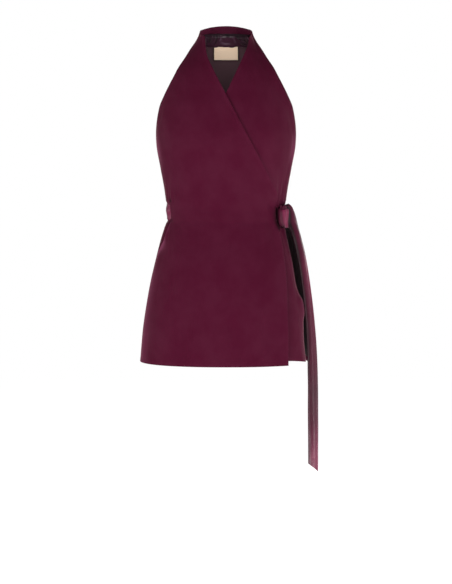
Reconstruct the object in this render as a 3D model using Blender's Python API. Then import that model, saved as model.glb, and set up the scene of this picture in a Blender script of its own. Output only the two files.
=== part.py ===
"""A halter wrap waistcoat in its worn form: hollow, in metres, +Z up, front towards -Y.

The cloth is drawn on one general torso form. A place on the form has a height z and an angle
in degrees round the body: 0 is the centre front, 90 the wearer's left side (+X), 180 the
centre back and 270 the wearer's right side (-X). Each panel is a wall between two edges on
that form, and a piece that lies on a panel is the same surface, moved out or in.
"""
import math
from typing import Callable, NamedTuple, Sequence

import bmesh
import bpy
import numpy
from mathutils import Vector

# Cloth thicknesses and the gaps between pieces.
CLOTH = 0.0014
COLLAR_CLOTH = 0.0018
LINING_CLOTH = 0.0010
TIE_CLOTH = 0.0014
LABEL_CLOTH = 0.0010
SEAM_GAP = 0.0006
REST_GAP = 0.0008
INNER_GAP = 0.0010
WRAP_GAP = 0.0018

# Heights of the cut, from the neck seam at zero.
COLLAR_BACK_TOP_Z = 0.0232
COLLAR_SIDE_TOP_Z = 0.0100
ARMHOLE_TOP_Z = -0.0093
UNDERARM_Z = -0.2396
HEM_Z = -0.7640
UNDER_HEM_Z = -0.7575
LINING_HEM_Z = -0.7510
FRONT_NECK_DROP = 0.0171

# The tie: a satin band round the back waist, a knot and one free tail.
TIE_WIDTH = 0.0372
BAND_TOP_Z = -0.3940
BAND_BOTTOM_Z = BAND_TOP_Z - TIE_WIDTH
BAND_START_ANGLE = 71.0
BAND_BITE = 0.0022
BAND_EASE = 0.0080
KNOT_ANGLE = 62.0
TAIL_END_SLANT = 0.0122

# The label and the satin facing inside the back neck.
LABEL_WIDTH = 0.0577
LABEL_HEIGHT = 0.0305
LABEL_TOP_Z = -0.0225
FACING_BACK_TOP_Z = 0.0060
FACING_SIDE_TOP_Z = -0.0010
FACING_BOTTOM_Z = -0.0215
FACING_END_ANGLE = 97.0

# How the flat tables become a form.
SQUARENESS = 2.25         # 2 is an ellipse; more is flatter in front and behind
COLLAR_ARC_POWER = 1.30   # how quickly the collar falls from the back to the sides
TUCK_REACH = 18.0         # degrees of panel that turn in along an open vent
UNDER_RISE_START = 4.0    # degrees of under front that lie level with its side seam
UNDER_RISE_ANGLE = 10.0   # degrees in which the under front comes up to its side seam
BITE_START_ANGLE = 78.0   # where the band begins to press into the back
FADE_ANGLE = 12.0         # degrees in which the band comes up beside the knot
LINING_MARGIN = 1.0       # degrees by which the lining stops short of the back's side edges
SLANTED_ROWS = 3          # rows at the top of a front that share its sloping neck edge
PROBE = 0.0005            # step for measuring slopes
SHARP_ANGLE = 50.0        # edges that turn by more than this many degrees stay sharp

FRONT_COLUMNS = 15
BACK_COLUMNS = 18
BAND_COLUMNS = 30
COLLAR_COLUMNS = 16
COLLAR_ROWS = 3
FACING_COLUMNS = 14
FACING_ROWS = 3
LABEL_COLUMNS = 6
LABEL_ROWS = 3
KNOT_SIDES = 20
KNOT_SQUARENESS = 2.6
TAIL_STATIONS = 26
TAIL_COLUMNS = 3


class Section(NamedTuple):
    """Half sizes of the form at one height."""
    z: float
    half_width: float
    front_depth: float
    back_depth: float


class AnglePair(NamedTuple):
    """Where a side edge of the front and of the back lies, in degrees from the centre front."""
    z: float
    front: float
    back: float


class EdgePoint(NamedTuple):
    """A free front edge: how far it lies to the wearer's left of the middle."""
    z: float
    x: float


class Displacement(NamedTuple):
    """How far a vent edge turns in, or a back panel swings out, at one height."""
    z: float
    depth: float


class KnotRing(NamedTuple):
    """One level of the knot: half sizes, and a shift towards the side seam."""
    z: float
    half_width: float
    half_depth: float
    shift: float


class TailStation(NamedTuple):
    """One place along the tail: its middle, how far it is spread and how far it is turned."""
    x: float
    y: float
    z: float
    spread: float
    turn: float


SECTIONS = (
    Section(0.030, 0.0528, 0.054, 0.050),
    Section(0.012, 0.0570, 0.056, 0.055),
    Section(0.000, 0.0613, 0.058, 0.060),
    Section(-0.010, 0.0658, 0.063, 0.066),
    Section(-0.020, 0.0718, 0.068, 0.072),
    Section(-0.035, 0.0858, 0.076, 0.081),
    Section(-0.060, 0.1088, 0.089, 0.091),
    Section(-0.088, 0.1317, 0.102, 0.100),
    Section(-0.116, 0.1444, 0.112, 0.105),
    Section(-0.143, 0.1523, 0.119, 0.108),
    Section(-0.171, 0.1591, 0.125, 0.109),
    Section(-0.226, 0.1626, 0.131, 0.108),
    Section(-0.254, 0.1615, 0.129, 0.105),
    Section(-0.310, 0.1520, 0.116, 0.097),
    Section(-0.367, 0.1420, 0.102, 0.088),
    Section(-0.412, 0.1373, 0.094, 0.084),
    Section(-0.431, 0.1370, 0.094, 0.084),
    Section(-0.451, 0.1433, 0.097, 0.088),
    Section(-0.479, 0.1521, 0.102, 0.096),
    Section(-0.522, 0.1633, 0.111, 0.109),
    Section(-0.578, 0.1767, 0.120, 0.120),
    Section(-0.634, 0.1868, 0.127, 0.127),
    Section(-0.691, 0.1949, 0.131, 0.131),
    Section(-0.764, 0.2012, 0.135, 0.135),
)

ARMHOLE = (
    AnglePair(ARMHOLE_TOP_Z, 90.0, 90.0),
    AnglePair(-0.0190, 80.0, 100.0),
    AnglePair(-0.0350, 66.0, 115.0),
    AnglePair(-0.0600, 58.0, 124.0),
    AnglePair(-0.0880, 56.0, 127.0),
    AnglePair(-0.1160, 59.0, 124.0),
    AnglePair(-0.1430, 65.0, 118.0),
    AnglePair(-0.1980, 77.0, 104.0),
    AnglePair(-0.2260, 82.5, 95.0),
    AnglePair(UNDERARM_Z, 86.0, 86.0),
)

# Below the underarm: the side seam down to the tie, then the open vent.
RIGHT_SIDE = (
    AnglePair(UNDERARM_Z, 86.0, 86.0),
    AnglePair(-0.3120, 77.0, 77.0),
    AnglePair(-0.3860, 66.0, 66.0),
    AnglePair(BAND_BOTTOM_Z, 64.5, 64.5),
    AnglePair(-0.4743, 76.0, 79.0),
    AnglePair(-0.5225, 82.0, 85.0),
    AnglePair(HEM_Z, 86.0, 89.0),
)
LEFT_SIDE = (
    AnglePair(UNDERARM_Z, 86.0, 86.0),
    AnglePair(-0.3120, 82.0, 82.0),
    AnglePair(-0.3860, 77.0, 77.0),
    AnglePair(BAND_BOTTOM_Z, 76.0, 76.0),
    AnglePair(-0.4550, 74.5, 92.0),
    AnglePair(-0.4743, 74.0, 94.0),
    AnglePair(HEM_Z, 76.0, 96.0),
)

# The outer front crosses from the neck to the wearer's left waist and falls to the hem.
OUTER_EDGE = (
    EdgePoint(-0.005, -0.0485),
    EdgePoint(-0.029, -0.0465),
    EdgePoint(-0.052, -0.0432),
    EdgePoint(-0.082, -0.0308),
    EdgePoint(-0.141, -0.0010),
    EdgePoint(-0.254, 0.0586),
    EdgePoint(-0.328, 0.0984),
    EdgePoint(-0.379, 0.1200),
    EdgePoint(-0.412, 0.1226),
    EdgePoint(-0.453, 0.1232),
    EdgePoint(-0.495, 0.1310),
    EdgePoint(-0.550, 0.1373),
    EdgePoint(-0.604, 0.1403),
    EdgePoint(-0.640, 0.1410),
    EdgePoint(-0.686, 0.1424),
    EdgePoint(HEM_Z, 0.1416),
)

# The under front crosses the other way, out of sight below the point of the V.
UNDER_EDGE = (
    EdgePoint(-0.005, 0.0554),
    EdgePoint(-0.020, 0.0532),
    EdgePoint(-0.054, 0.0399),
    EdgePoint(-0.082, 0.0270),
    EdgePoint(-0.137, 0.0010),
    EdgePoint(-0.254, -0.0626),
    EdgePoint(-0.328, -0.1010),
    EdgePoint(-0.379, -0.1180),
    EdgePoint(-0.431, -0.1160),
    EdgePoint(-0.520, -0.1290),
    EdgePoint(UNDER_HEM_Z, -0.1400),
)

RIGHT_TUCK = (
    Displacement(BAND_BOTTOM_Z, 0.0),
    Displacement(-0.445, 0.004),
    Displacement(-0.474, 0.010),
    Displacement(-0.496, 0.008),
    Displacement(-0.522, 0.0),
    Displacement(HEM_Z, 0.0),
)
LEFT_TUCK = (
    Displacement(BAND_BOTTOM_Z, 0.0),
    Displacement(-0.451, 0.003),
    Displacement(-0.479, 0.006),
    Displacement(-0.522, 0.007),
    Displacement(-0.578, 0.011),
    Displacement(-0.600, 0.0080),
    Displacement(-0.622, 0.0010),
    Displacement(-0.640, 0.0010),
    Displacement(-0.667, 0.0080),
    Displacement(-0.717, 0.0120),
    Displacement(HEM_Z, 0.0115),
)
BACK_SWING = (
    Displacement(BAND_BOTTOM_Z, 0.0),
    Displacement(-0.451, 0.0055),
    Displacement(-0.462, 0.0095),
    Displacement(-0.512, 0.0077),
    Displacement(-0.569, 0.0042),
    Displacement(-0.667, 0.0019),
    Displacement(HEM_Z, 0.0),
)

KNOT_RINGS = (
    KnotRing(-0.4034, 0.0120, 0.0050, 0.0000),
    KnotRing(-0.4048, 0.0158, 0.0078, 0.0000),
    KnotRing(-0.4120, 0.0170, 0.0086, 0.0000),
    KnotRing(-0.4240, 0.0154, 0.0082, 0.0008),
    KnotRing(-0.4360, 0.0126, 0.0072, 0.0022),
    KnotRing(-0.4450, 0.0092, 0.0060, 0.0035),
    KnotRing(-0.4485, 0.0052, 0.0036, 0.0040),
)

TAIL = (
    TailStation(0.1370, -0.0440, -0.4025, 0.45, 56.0),
    TailStation(0.1398, -0.0430, -0.3962, 0.48, 56.0),
    TailStation(0.1442, -0.0395, -0.3948, 0.50, 56.0),
    TailStation(0.1490, -0.0335, -0.3995, 0.52, 56.0),
    TailStation(0.1537, -0.0275, -0.4130, 0.60, 56.0),
    TailStation(0.1580, -0.0260, -0.4380, 0.80, 57.0),
    TailStation(0.1655, -0.0235, -0.4700, 0.94, 59.0),
    TailStation(0.1782, -0.0200, -0.5250, 1.00, 59.0),
    TailStation(0.1918, -0.0170, -0.6100, 1.00, 59.0),
    TailStation(0.2004, -0.0155, -0.6950, 1.00, 57.5),
    TailStation(0.2044, -0.0150, -0.7900, 1.00, 51.5),
    TailStation(0.2060, -0.0150, -0.9350, 1.00, 50.5),
    TailStation(0.2065, -0.0150, -1.0166, 1.00, 50.0),
)

# Heights of the rows that all the panels share, so that layers keep their distance.
FRONT_TOP_LEVELS = (COLLAR_SIDE_TOP_Z, 0.0030)
SHARED_LEVELS = (
    ARMHOLE_TOP_Z, -0.0220, -0.0380, -0.0580, -0.0850, -0.1130, -0.1410, -0.1700, -0.1980,
    -0.2210, UNDERARM_Z, -0.2750, -0.3120, -0.3500, BAND_TOP_Z + BAND_EASE, BAND_TOP_Z,
    BAND_BOTTOM_Z, BAND_BOTTOM_Z - BAND_EASE, -0.4550, -0.4743, -0.4960, -0.5225, -0.5650,
    -0.6100, -0.6600, -0.7100,
)


class Finish(NamedTuple):
    """Base colour and roughness of a cloth."""
    colour: tuple[float, float, float]
    roughness: float


CREPE = Finish((0.091, 0.011, 0.031), 0.62)
SATIN = Finish((0.170, 0.032, 0.066), 0.36)
LINING = Finish((0.038, 0.020, 0.025), 0.45)
LABEL = Finish((0.700, 0.560, 0.420), 0.70)

Grid = list[list[tuple[float, float]]]
Surface = list[list[Vector]]


def table_curve(rows: Sequence[NamedTuple], column: str) -> Callable[[float], float]:
    """A monotone cubic through one column of a table, as a function of height."""
    ordered = sorted(rows, key=lambda row: row.z)
    heights = numpy.array([row.z for row in ordered])
    values = numpy.array([getattr(row, column) for row in ordered])
    steps = numpy.diff(heights)
    slopes = numpy.diff(values) / steps
    tangents = numpy.concatenate(([slopes[0]], numpy.zeros(len(slopes) - 1), [slopes[-1]]))
    for index in range(1, len(slopes)):
        before, after = slopes[index - 1], slopes[index]
        if before * after > 0.0:
            tangents[index] = 2.0 * before * after / (before + after)

    def curve(z: float) -> float:
        held = min(max(z, heights[0]), heights[-1])
        index = min(max(int(numpy.searchsorted(heights, held)) - 1, 0), len(steps) - 1)
        step = steps[index]
        t = (held - heights[index]) / step
        rise = values[index + 1] - values[index]
        bend_in = step * tangents[index] - rise
        bend_out = rise - step * tangents[index + 1]
        return float(values[index] + t * rise + t * (1 - t) * (bend_in * (1 - t) + bend_out * t))

    return curve


half_width = table_curve(SECTIONS, "half_width")
front_depth = table_curve(SECTIONS, "front_depth")
back_depth = table_curve(SECTIONS, "back_depth")
armhole_front = table_curve(ARMHOLE, "front")
armhole_back = table_curve(ARMHOLE, "back")
right_front = table_curve(RIGHT_SIDE, "front")
right_back = table_curve(RIGHT_SIDE, "back")
left_front = table_curve(LEFT_SIDE, "front")
left_back = table_curve(LEFT_SIDE, "back")
outer_edge_x = table_curve(OUTER_EDGE, "x")
under_edge_x = table_curve(UNDER_EDGE, "x")
right_tuck = table_curve(RIGHT_TUCK, "depth")
left_tuck = table_curve(LEFT_TUCK, "depth")
back_swing = table_curve(BACK_SWING, "depth")


def smooth_step(t: float) -> float:
    """Zero below 0, one above 1 and an easy curve between."""
    held = min(max(t, 0.0), 1.0)
    return held * held * (3.0 - 2.0 * held)


def form_point(angle: float, z: float, swing: float = 0.0) -> Vector:
    """A point of the torso form, widened at the sides by swing."""
    sine = math.sin(math.radians(angle))
    cosine = math.cos(math.radians(angle))
    reach = (abs(sine) ** SQUARENESS + abs(cosine) ** SQUARENESS) ** (-1.0 / SQUARENESS)
    depth = front_depth(z) if cosine > 0.0 else back_depth(z)
    return Vector(((half_width(z) + swing) * sine * reach, -depth * cosine * reach, z))


def outward(angle: float, z: float) -> Vector:
    """The form's outward normal."""
    turn = math.degrees(PROBE / half_width(z))
    along = form_point(angle + turn, z) - form_point(angle - turn, z)
    upward = form_point(angle, z + PROBE) - form_point(angle, z - PROBE)
    return along.cross(upward).normalized()


def angle_at(x: float, z: float) -> float:
    """The angle from the centre front at which the form is x to the side."""
    across = x / half_width(z)
    ahead = (1.0 - min(abs(across), 1.0) ** SQUARENESS) ** (1.0 / SQUARENESS)
    return math.degrees(math.atan2(across, ahead))


def half_gap_angle(z: float) -> float:
    """Half a seam's gap, as an angle at the sides."""
    return math.degrees(0.5 * SEAM_GAP / half_width(z))


def side_angle(armhole: Callable, side: Callable, z: float) -> float:
    """A side edge's angle: the armhole above the underarm, the seam and vent below."""
    return armhole(z) if z > UNDERARM_Z else side(z)


def outer_front_start(z: float) -> float:
    """The outer front's side edge, on the wearer's right."""
    return -side_angle(armhole_front, right_front, z) + half_gap_angle(z)


def outer_front_stop(z: float) -> float:
    """The outer front's free edge."""
    return angle_at(outer_edge_x(z), z)


def under_front_start(z: float) -> float:
    """The under front's free edge."""
    return angle_at(under_edge_x(z), z)


def under_front_stop(z: float) -> float:
    """The under front's side edge, on the wearer's left."""
    return side_angle(armhole_front, left_front, z) - half_gap_angle(z)


def back_start(z: float) -> float:
    """The back's side edge on the wearer's left."""
    return side_angle(armhole_back, left_back, z) + half_gap_angle(z)


def back_stop(z: float) -> float:
    """The back's side edge on the wearer's right."""
    return 360.0 - side_angle(armhole_back, right_back, z) - half_gap_angle(z)


def outer_front_lift(angle: float, z: float) -> float:
    """The outer front lies on the form and turns in along its vent."""
    reach = 1.0 - (angle - outer_front_start(z)) / TUCK_REACH
    return -right_tuck(z) * smooth_step(reach)


def under_front_lift(angle: float, z: float) -> float:
    """The under front lies inside the outer one and comes up to its side seam."""
    from_side = under_front_stop(z) - angle
    sunk = smooth_step((from_side - UNDER_RISE_START) / UNDER_RISE_ANGLE)
    tucked = left_tuck(z) * smooth_step(1.0 - from_side / TUCK_REACH)
    return outer_front_lift(angle, z) - (WRAP_GAP + CLOTH) * sunk - tucked


def back_lift(angle: float, z: float) -> float:
    """The tie bites into the back waist, less so beside the knot."""
    beyond = max(z - BAND_TOP_Z, BAND_BOTTOM_Z - z, 0.0)
    bite = max(1.0 - beyond / BAND_EASE, 0.0)
    return -BAND_BITE * bite * smooth_step((angle - BITE_START_ANGLE) / FADE_ANGLE)


def side_swing(angle: float, z: float) -> float:
    """The back's vent edge swings out on the wearer's left, under the tail."""
    return back_swing(z) * smooth_step(math.sin(math.radians(angle)))


def no_swing(_angle: float, _z: float) -> float:
    """A piece that keeps to the form."""
    return 0.0


def inside(lift: Callable, thickness: float, gap: float) -> Callable:
    """A lift for a piece of some thickness that lies inside another piece."""
    return lambda angle, z: lift(angle, z) - gap - thickness


def panel_grid(levels: Sequence[float], start: Callable, stop: Callable, columns: int,
               start_drop: float = 0.0, stop_drop: float = 0.0) -> Grid:
    """Places of a panel, row by row from the top; its first rows may slope to an edge."""
    grid = []
    for row, level in enumerate(levels):
        slope = max(0.0, 1.0 - row / SLANTED_ROWS)
        cells = []
        for column in range(columns + 1):
            u = column / columns
            z = level - slope * (start_drop * (1.0 - u) + stop_drop * u)
            first, last = start(z), stop(z)
            cells.append((first + (last - first) * u, z))
        grid.append(cells)
    return grid


def strip_grid(top: Callable, bottom: Callable, start: float, stop: float,
               columns: int, rows: int) -> Grid:
    """Places of a strip between two heights that depend on the angle."""
    angles = [start + (stop - start) * column / columns for column in range(columns + 1)]
    return [[(angle, top(angle) + (bottom(angle) - top(angle)) * row / rows)
             for angle in angles] for row in range(rows + 1)]


def laid(grid: Grid, lift: Callable, swing: Callable, extra: float) -> Surface:
    """The grid's places in space, lifted off the form by the piece's lift and an extra."""
    return [[form_point(angle, z, swing(angle, z)) + outward(angle, z) * (lift(angle, z) + extra)
             for angle, z in row] for row in grid]


def remove_everything() -> None:
    """Empty the scene."""
    for obj in list(bpy.data.objects):
        bpy.data.objects.remove(obj, do_unlink=True)


def make_object(name: str, mesh_parts: bmesh.types.BMesh, finish: Finish) -> bpy.types.Object:
    """An object of closed, outward, smooth-shaded faces in its own material."""
    bmesh.ops.recalc_face_normals(mesh_parts, faces=mesh_parts.faces)
    mesh = bpy.data.meshes.new(name)
    mesh_parts.to_mesh(mesh)
    mesh_parts.free()
    mesh.shade_smooth()
    mesh.set_sharp_from_angle(angle=math.radians(SHARP_ANGLE))
    material = bpy.data.materials.new(name + "_cloth")
    material.use_nodes = True
    shader = material.node_tree.nodes["Principled BSDF"]
    shader.inputs["Base Color"].default_value = (*finish.colour, 1.0)
    shader.inputs["Roughness"].default_value = finish.roughness
    shader.inputs["Metallic"].default_value = 0.0
    mesh.materials.append(material)
    obj = bpy.data.objects.new(name, mesh)
    bpy.context.scene.collection.objects.link(obj)
    return obj


def wall(name: str, outer: Surface, inner: Surface, finish: Finish) -> bpy.types.Object:
    """A closed wall of cloth between two surfaces with the same rows and columns."""
    parts = bmesh.new()
    outer_verts = [[parts.verts.new(point) for point in row] for row in outer]
    inner_verts = [[parts.verts.new(point) for point in row] for row in inner]
    last_row, last_column = len(outer) - 1, len(outer[0]) - 1

    def two_triangles(a, b, c, d) -> None:
        parts.faces.new((a, b, c))
        parts.faces.new((a, c, d))

    for row in range(last_row):
        for column in range(last_column):
            falling = (outer[row][column] - outer[row + 1][column + 1]).length
            rising = (outer[row + 1][column] - outer[row][column + 1]).length
            for verts in (outer_verts, inner_verts):
                corners = [verts[row][column], verts[row + 1][column],
                           verts[row + 1][column + 1], verts[row][column + 1]]
                if rising < falling:
                    corners = corners[1:] + corners[:1]
                two_triangles(*corners)
    for row in range(last_row):
        for column in (0, last_column):
            two_triangles(outer_verts[row][column], outer_verts[row + 1][column],
                          inner_verts[row + 1][column], inner_verts[row][column])
    for column in range(last_column):
        for row in (0, last_row):
            two_triangles(outer_verts[row][column], outer_verts[row][column + 1],
                          inner_verts[row][column + 1], inner_verts[row][column])
    return make_object(name, parts, finish)


def form_wall(name: str, grid: Grid, lift: Callable, thickness: float, finish: Finish,
              swing: Callable = no_swing) -> bpy.types.Object:
    """A wall of cloth on the form; lift places its inner face."""
    return wall(name, laid(grid, lift, swing, thickness), laid(grid, lift, swing, 0.0), finish)


def make_fronts() -> None:
    """The outer front from the wearer's right and the under front from the left."""
    levels = (*FRONT_TOP_LEVELS, *SHARED_LEVELS)
    outer = panel_grid((*levels, HEM_Z), outer_front_start, outer_front_stop, FRONT_COLUMNS,
                       stop_drop=FRONT_NECK_DROP)
    form_wall("front_right", outer, outer_front_lift, CLOTH, CREPE)
    under = panel_grid((*levels, UNDER_HEM_Z), under_front_start, under_front_stop,
                       FRONT_COLUMNS, start_drop=FRONT_NECK_DROP)
    form_wall("front_left", under, under_front_lift, CLOTH, CREPE)


def make_back() -> None:
    """The back panel and the lining inside it."""
    levels = (-0.5 * SEAM_GAP, *SHARED_LEVELS)
    panel = panel_grid((*levels, HEM_Z), back_start, back_stop, BACK_COLUMNS)
    form_wall("back", panel, back_lift, CLOTH, CREPE, side_swing)
    lining = panel_grid((*levels, LINING_HEM_Z), lambda z: back_start(z) + LINING_MARGIN,
                        lambda z: back_stop(z) - LINING_MARGIN, BACK_COLUMNS)
    form_wall("back_lining", lining, inside(back_lift, LINING_CLOTH, REST_GAP), LINING_CLOTH,
              LINING, side_swing)


def back_arc(angle: float, side_z: float, back_z: float) -> float:
    """A height that climbs from the sides to the centre back."""
    return side_z + (back_z - side_z) * max(-math.cos(math.radians(angle)), 0.0) ** COLLAR_ARC_POWER


def make_collar() -> None:
    """The stand collar round the back neck, seamed to the fronts at both sides."""
    end = 90.0 + half_gap_angle(COLLAR_SIDE_TOP_Z)
    grid = strip_grid(lambda angle: back_arc(angle, COLLAR_SIDE_TOP_Z, COLLAR_BACK_TOP_Z),
                      lambda angle: 0.5 * SEAM_GAP, end, 360.0 - end, COLLAR_COLUMNS, COLLAR_ROWS)
    form_wall("collar", grid, no_swing, COLLAR_CLOTH, CREPE)


def make_neck_inside() -> None:
    """The satin facing round the inside of the back neck and the label below it."""
    lining_lift = inside(back_lift, LINING_CLOTH, REST_GAP)
    facing = strip_grid(lambda angle: back_arc(angle, FACING_SIDE_TOP_Z, FACING_BACK_TOP_Z),
                        lambda angle: FACING_BOTTOM_Z, FACING_END_ANGLE,
                        360.0 - FACING_END_ANGLE, FACING_COLUMNS, FACING_ROWS)
    form_wall("neck_facing", facing, inside(lining_lift, LINING_CLOTH, INNER_GAP), LINING_CLOTH,
              LINING)
    levels = [LABEL_TOP_Z - LABEL_HEIGHT * row / LABEL_ROWS for row in range(LABEL_ROWS + 1)]
    label = panel_grid(levels, lambda z: 180.0 - angle_at(0.5 * LABEL_WIDTH, z),
                       lambda z: 180.0 + angle_at(0.5 * LABEL_WIDTH, z), LABEL_COLUMNS)
    form_wall("label", label, inside(lining_lift, LABEL_CLOTH, INNER_GAP), LABEL_CLOTH, LABEL)


def make_band() -> None:
    """The satin tie from the right side seam round the back waist to the knot."""
    grid = strip_grid(lambda angle: BAND_TOP_Z, lambda angle: BAND_BOTTOM_Z, BAND_START_ANGLE,
                      back_stop(BAND_TOP_Z), BAND_COLUMNS, 1)
    form_wall("tie_band", grid, lambda angle, z: back_lift(angle, z) + CLOTH + REST_GAP,
              TIE_CLOTH, SATIN)


def make_knot() -> None:
    """The knot on the outer front's edge, a rounded wedge, narrower below."""
    middle_z = 0.5 * (KNOT_RINGS[0].z + KNOT_RINGS[-1].z)
    out = outward(KNOT_ANGLE, middle_z)
    across = Vector((-out.y, out.x, 0.0)).normalized()
    parts = bmesh.new()
    rings = []
    for level in KNOT_RINGS:
        seat = form_point(KNOT_ANGLE, level.z) + out * (CLOTH + REST_GAP + level.half_depth)
        middle = seat + across * level.shift
        ring = []
        for side in range(KNOT_SIDES):
            angle = 2.0 * math.pi * side / KNOT_SIDES
            sine, cosine = math.sin(angle), math.cos(angle)
            reach = (abs(sine) ** KNOT_SQUARENESS + abs(cosine) ** KNOT_SQUARENESS)
            reach **= -1.0 / KNOT_SQUARENESS
            point = (middle + across * (level.half_width * cosine * reach)
                     + out * (level.half_depth * sine * reach))
            ring.append(parts.verts.new(point))
        rings.append(ring)
    for upper, lower in zip(rings, rings[1:]):
        for side in range(KNOT_SIDES):
            after = (side + 1) % KNOT_SIDES
            parts.faces.new((upper[side], lower[side], lower[after], upper[after]))
    parts.faces.new(rings[0])
    parts.faces.new(list(reversed(rings[-1])))
    make_object("knot", parts, SATIN)


def tail_at(t: float) -> TailStation:
    """The tail at t from 0, at the knot, to 1, at its end: a smooth curve through its table."""
    place = t * (len(TAIL) - 1)
    index = min(int(place), len(TAIL) - 2)
    f = place - index
    before = TAIL[max(index - 1, 0)]
    here, after = TAIL[index], TAIL[index + 1]
    beyond = TAIL[min(index + 2, len(TAIL) - 1)]
    values = []
    for p0, p1, p2, p3 in zip(before, here, after, beyond):
        linear = p2 - p0
        square = 2.0 * p0 - 5.0 * p1 + 4.0 * p2 - p3
        cube = 3.0 * p1 - p0 - 3.0 * p2 + p3
        values.append(0.5 * (2.0 * p1 + f * linear + f * f * square + f * f * f * cube))
    return TailStation(*values)


def make_tail() -> None:
    """The free end of the tie: up over the knot and down beside the vent, cut on a slant."""
    outer, inner = [], []
    for station in range(TAIL_STATIONS + 1):
        t = station / TAIL_STATIONS
        here = tail_at(t)
        low, high = tail_at(max(t - PROBE, 0.0)), tail_at(min(t + PROBE, 1.0))
        path = (Vector(high[:3]) - Vector(low[:3])).normalized()
        turn = math.radians(here.turn)
        across = Vector((math.cos(turn), math.sin(turn), 0.0))
        face = path.cross(across).normalized() * (0.5 * TIE_CLOTH)
        slant = TAIL_END_SLANT if station == TAIL_STATIONS else 0.0
        outer_row, inner_row = [], []
        for column in range(TAIL_COLUMNS + 1):
            side = 2.0 * column / TAIL_COLUMNS - 1.0
            middle = Vector(here[:3]) + across * (0.5 * TIE_WIDTH * here.spread * side)
            middle.z -= slant * side
            outer_row.append(middle + face)
            inner_row.append(middle - face)
        outer.append(outer_row)
        inner.append(inner_row)
    wall("tie_tail", outer, inner, SATIN)


def make_waistcoat() -> None:
    """All the pieces."""
    remove_everything()
    make_fronts()
    make_back()
    make_collar()
    make_neck_inside()
    make_band()
    make_knot()
    make_tail()


make_waistcoat()
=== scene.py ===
"""Looks of a halter wrap waistcoat in its hollow worn form: crepe, lining and a satin tie.

Metres, +Z up, front towards -Y. A place on the torso form has a height z and an angle in
degrees: 0 is the centre front, 90 the wearer's left (+X), 180 the centre back.
"""

import logging
import math
from dataclasses import dataclass, field
from enum import Enum
from typing import Callable, NamedTuple, Sequence

import bpy
import numpy as np
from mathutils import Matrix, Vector


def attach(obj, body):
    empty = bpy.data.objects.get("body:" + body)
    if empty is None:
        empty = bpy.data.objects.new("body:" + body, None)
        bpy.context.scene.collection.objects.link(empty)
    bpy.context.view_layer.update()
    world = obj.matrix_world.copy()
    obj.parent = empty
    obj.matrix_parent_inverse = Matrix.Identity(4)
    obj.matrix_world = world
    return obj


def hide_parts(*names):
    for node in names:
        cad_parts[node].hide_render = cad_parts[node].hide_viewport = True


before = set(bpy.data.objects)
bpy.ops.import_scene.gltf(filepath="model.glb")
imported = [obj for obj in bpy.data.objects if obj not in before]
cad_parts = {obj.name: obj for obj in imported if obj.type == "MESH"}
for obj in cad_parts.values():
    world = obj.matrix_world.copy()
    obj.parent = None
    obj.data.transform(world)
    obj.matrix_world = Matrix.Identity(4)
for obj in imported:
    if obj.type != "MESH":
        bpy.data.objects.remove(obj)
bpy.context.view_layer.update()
LOG = logging.getLogger("waistcoat")

Colour = tuple[float, float, float]
Height = Callable[[np.ndarray], np.ndarray]
PLACE = "cloth_at"
# Point attribute of painted light, positive, and painted shade, negative, mixed into the cloth's colour.
PAINTED_LIGHT_OR_SHADE = "light_or_shade"


# ---------------------------------------------------------------- tables of the worn form
class Section(NamedTuple):
    """Half sizes of the form at one height."""
    z: float
    half_width: float
    front_depth: float
    back_depth: float


class SideEdge(NamedTuple):
    """Angles of the side edges of the front and the back at one height."""
    z: float
    front: float
    back: float


class Level(NamedTuple):
    """One number at one height: a sideways place or a depth."""
    z: float
    value: float


class Fold(NamedTuple):
    """A soft crease on the form: a trough where depth is positive, a ridge where negative."""
    start_angle: float
    start_z: float
    end_angle: float
    end_z: float
    depth: float
    width: float
    bow: float = 0.0
    head: float = 0.3
    tail: float = 0.5


class KnotRing(NamedTuple):
    """One level of the knot: height, half sizes, and a shift towards the side seam."""
    z: float
    half_width: float
    half_depth: float
    shift: float


class TailStation(NamedTuple):
    """One place along the tail: its middle, how far it is spread and how far turned."""
    x: float
    y: float
    z: float
    spread: float
    turn: float


class Shading(NamedTuple):
    """Painted shade at one share of the tail's length: overall, at its first edge and how far that reaches,
    and painted light at its last edge.
    """
    share: float
    overall: float
    first: float
    reach: float
    last: float


class RibbonShape(NamedTuple):
    """How a ribbon is rolled at one share of its length."""
    share: float
    ridge: float
    ripple: float
    phase: float


UNDERARM_Z = -0.2396
ARMHOLE_TOP_Z = -0.0093
COLLAR_BACK_TOP_Z = 0.0232
COLLAR_SIDE_TOP_Z = 0.0080
LABEL_HALF_WIDTH = 0.02885
LABEL_HALF_HEIGHT = 0.01525
LABEL_MIDDLE_Z = -0.03775
HEM_Z = -0.7640
UNDER_HEM_Z = -0.7575
LINING_HEM_Z = -0.7510
TIE_WIDTH = 0.0372
BAND_TOP_Z = -0.3940
BAND_BOTTOM_Z = BAND_TOP_Z - TIE_WIDTH

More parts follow.
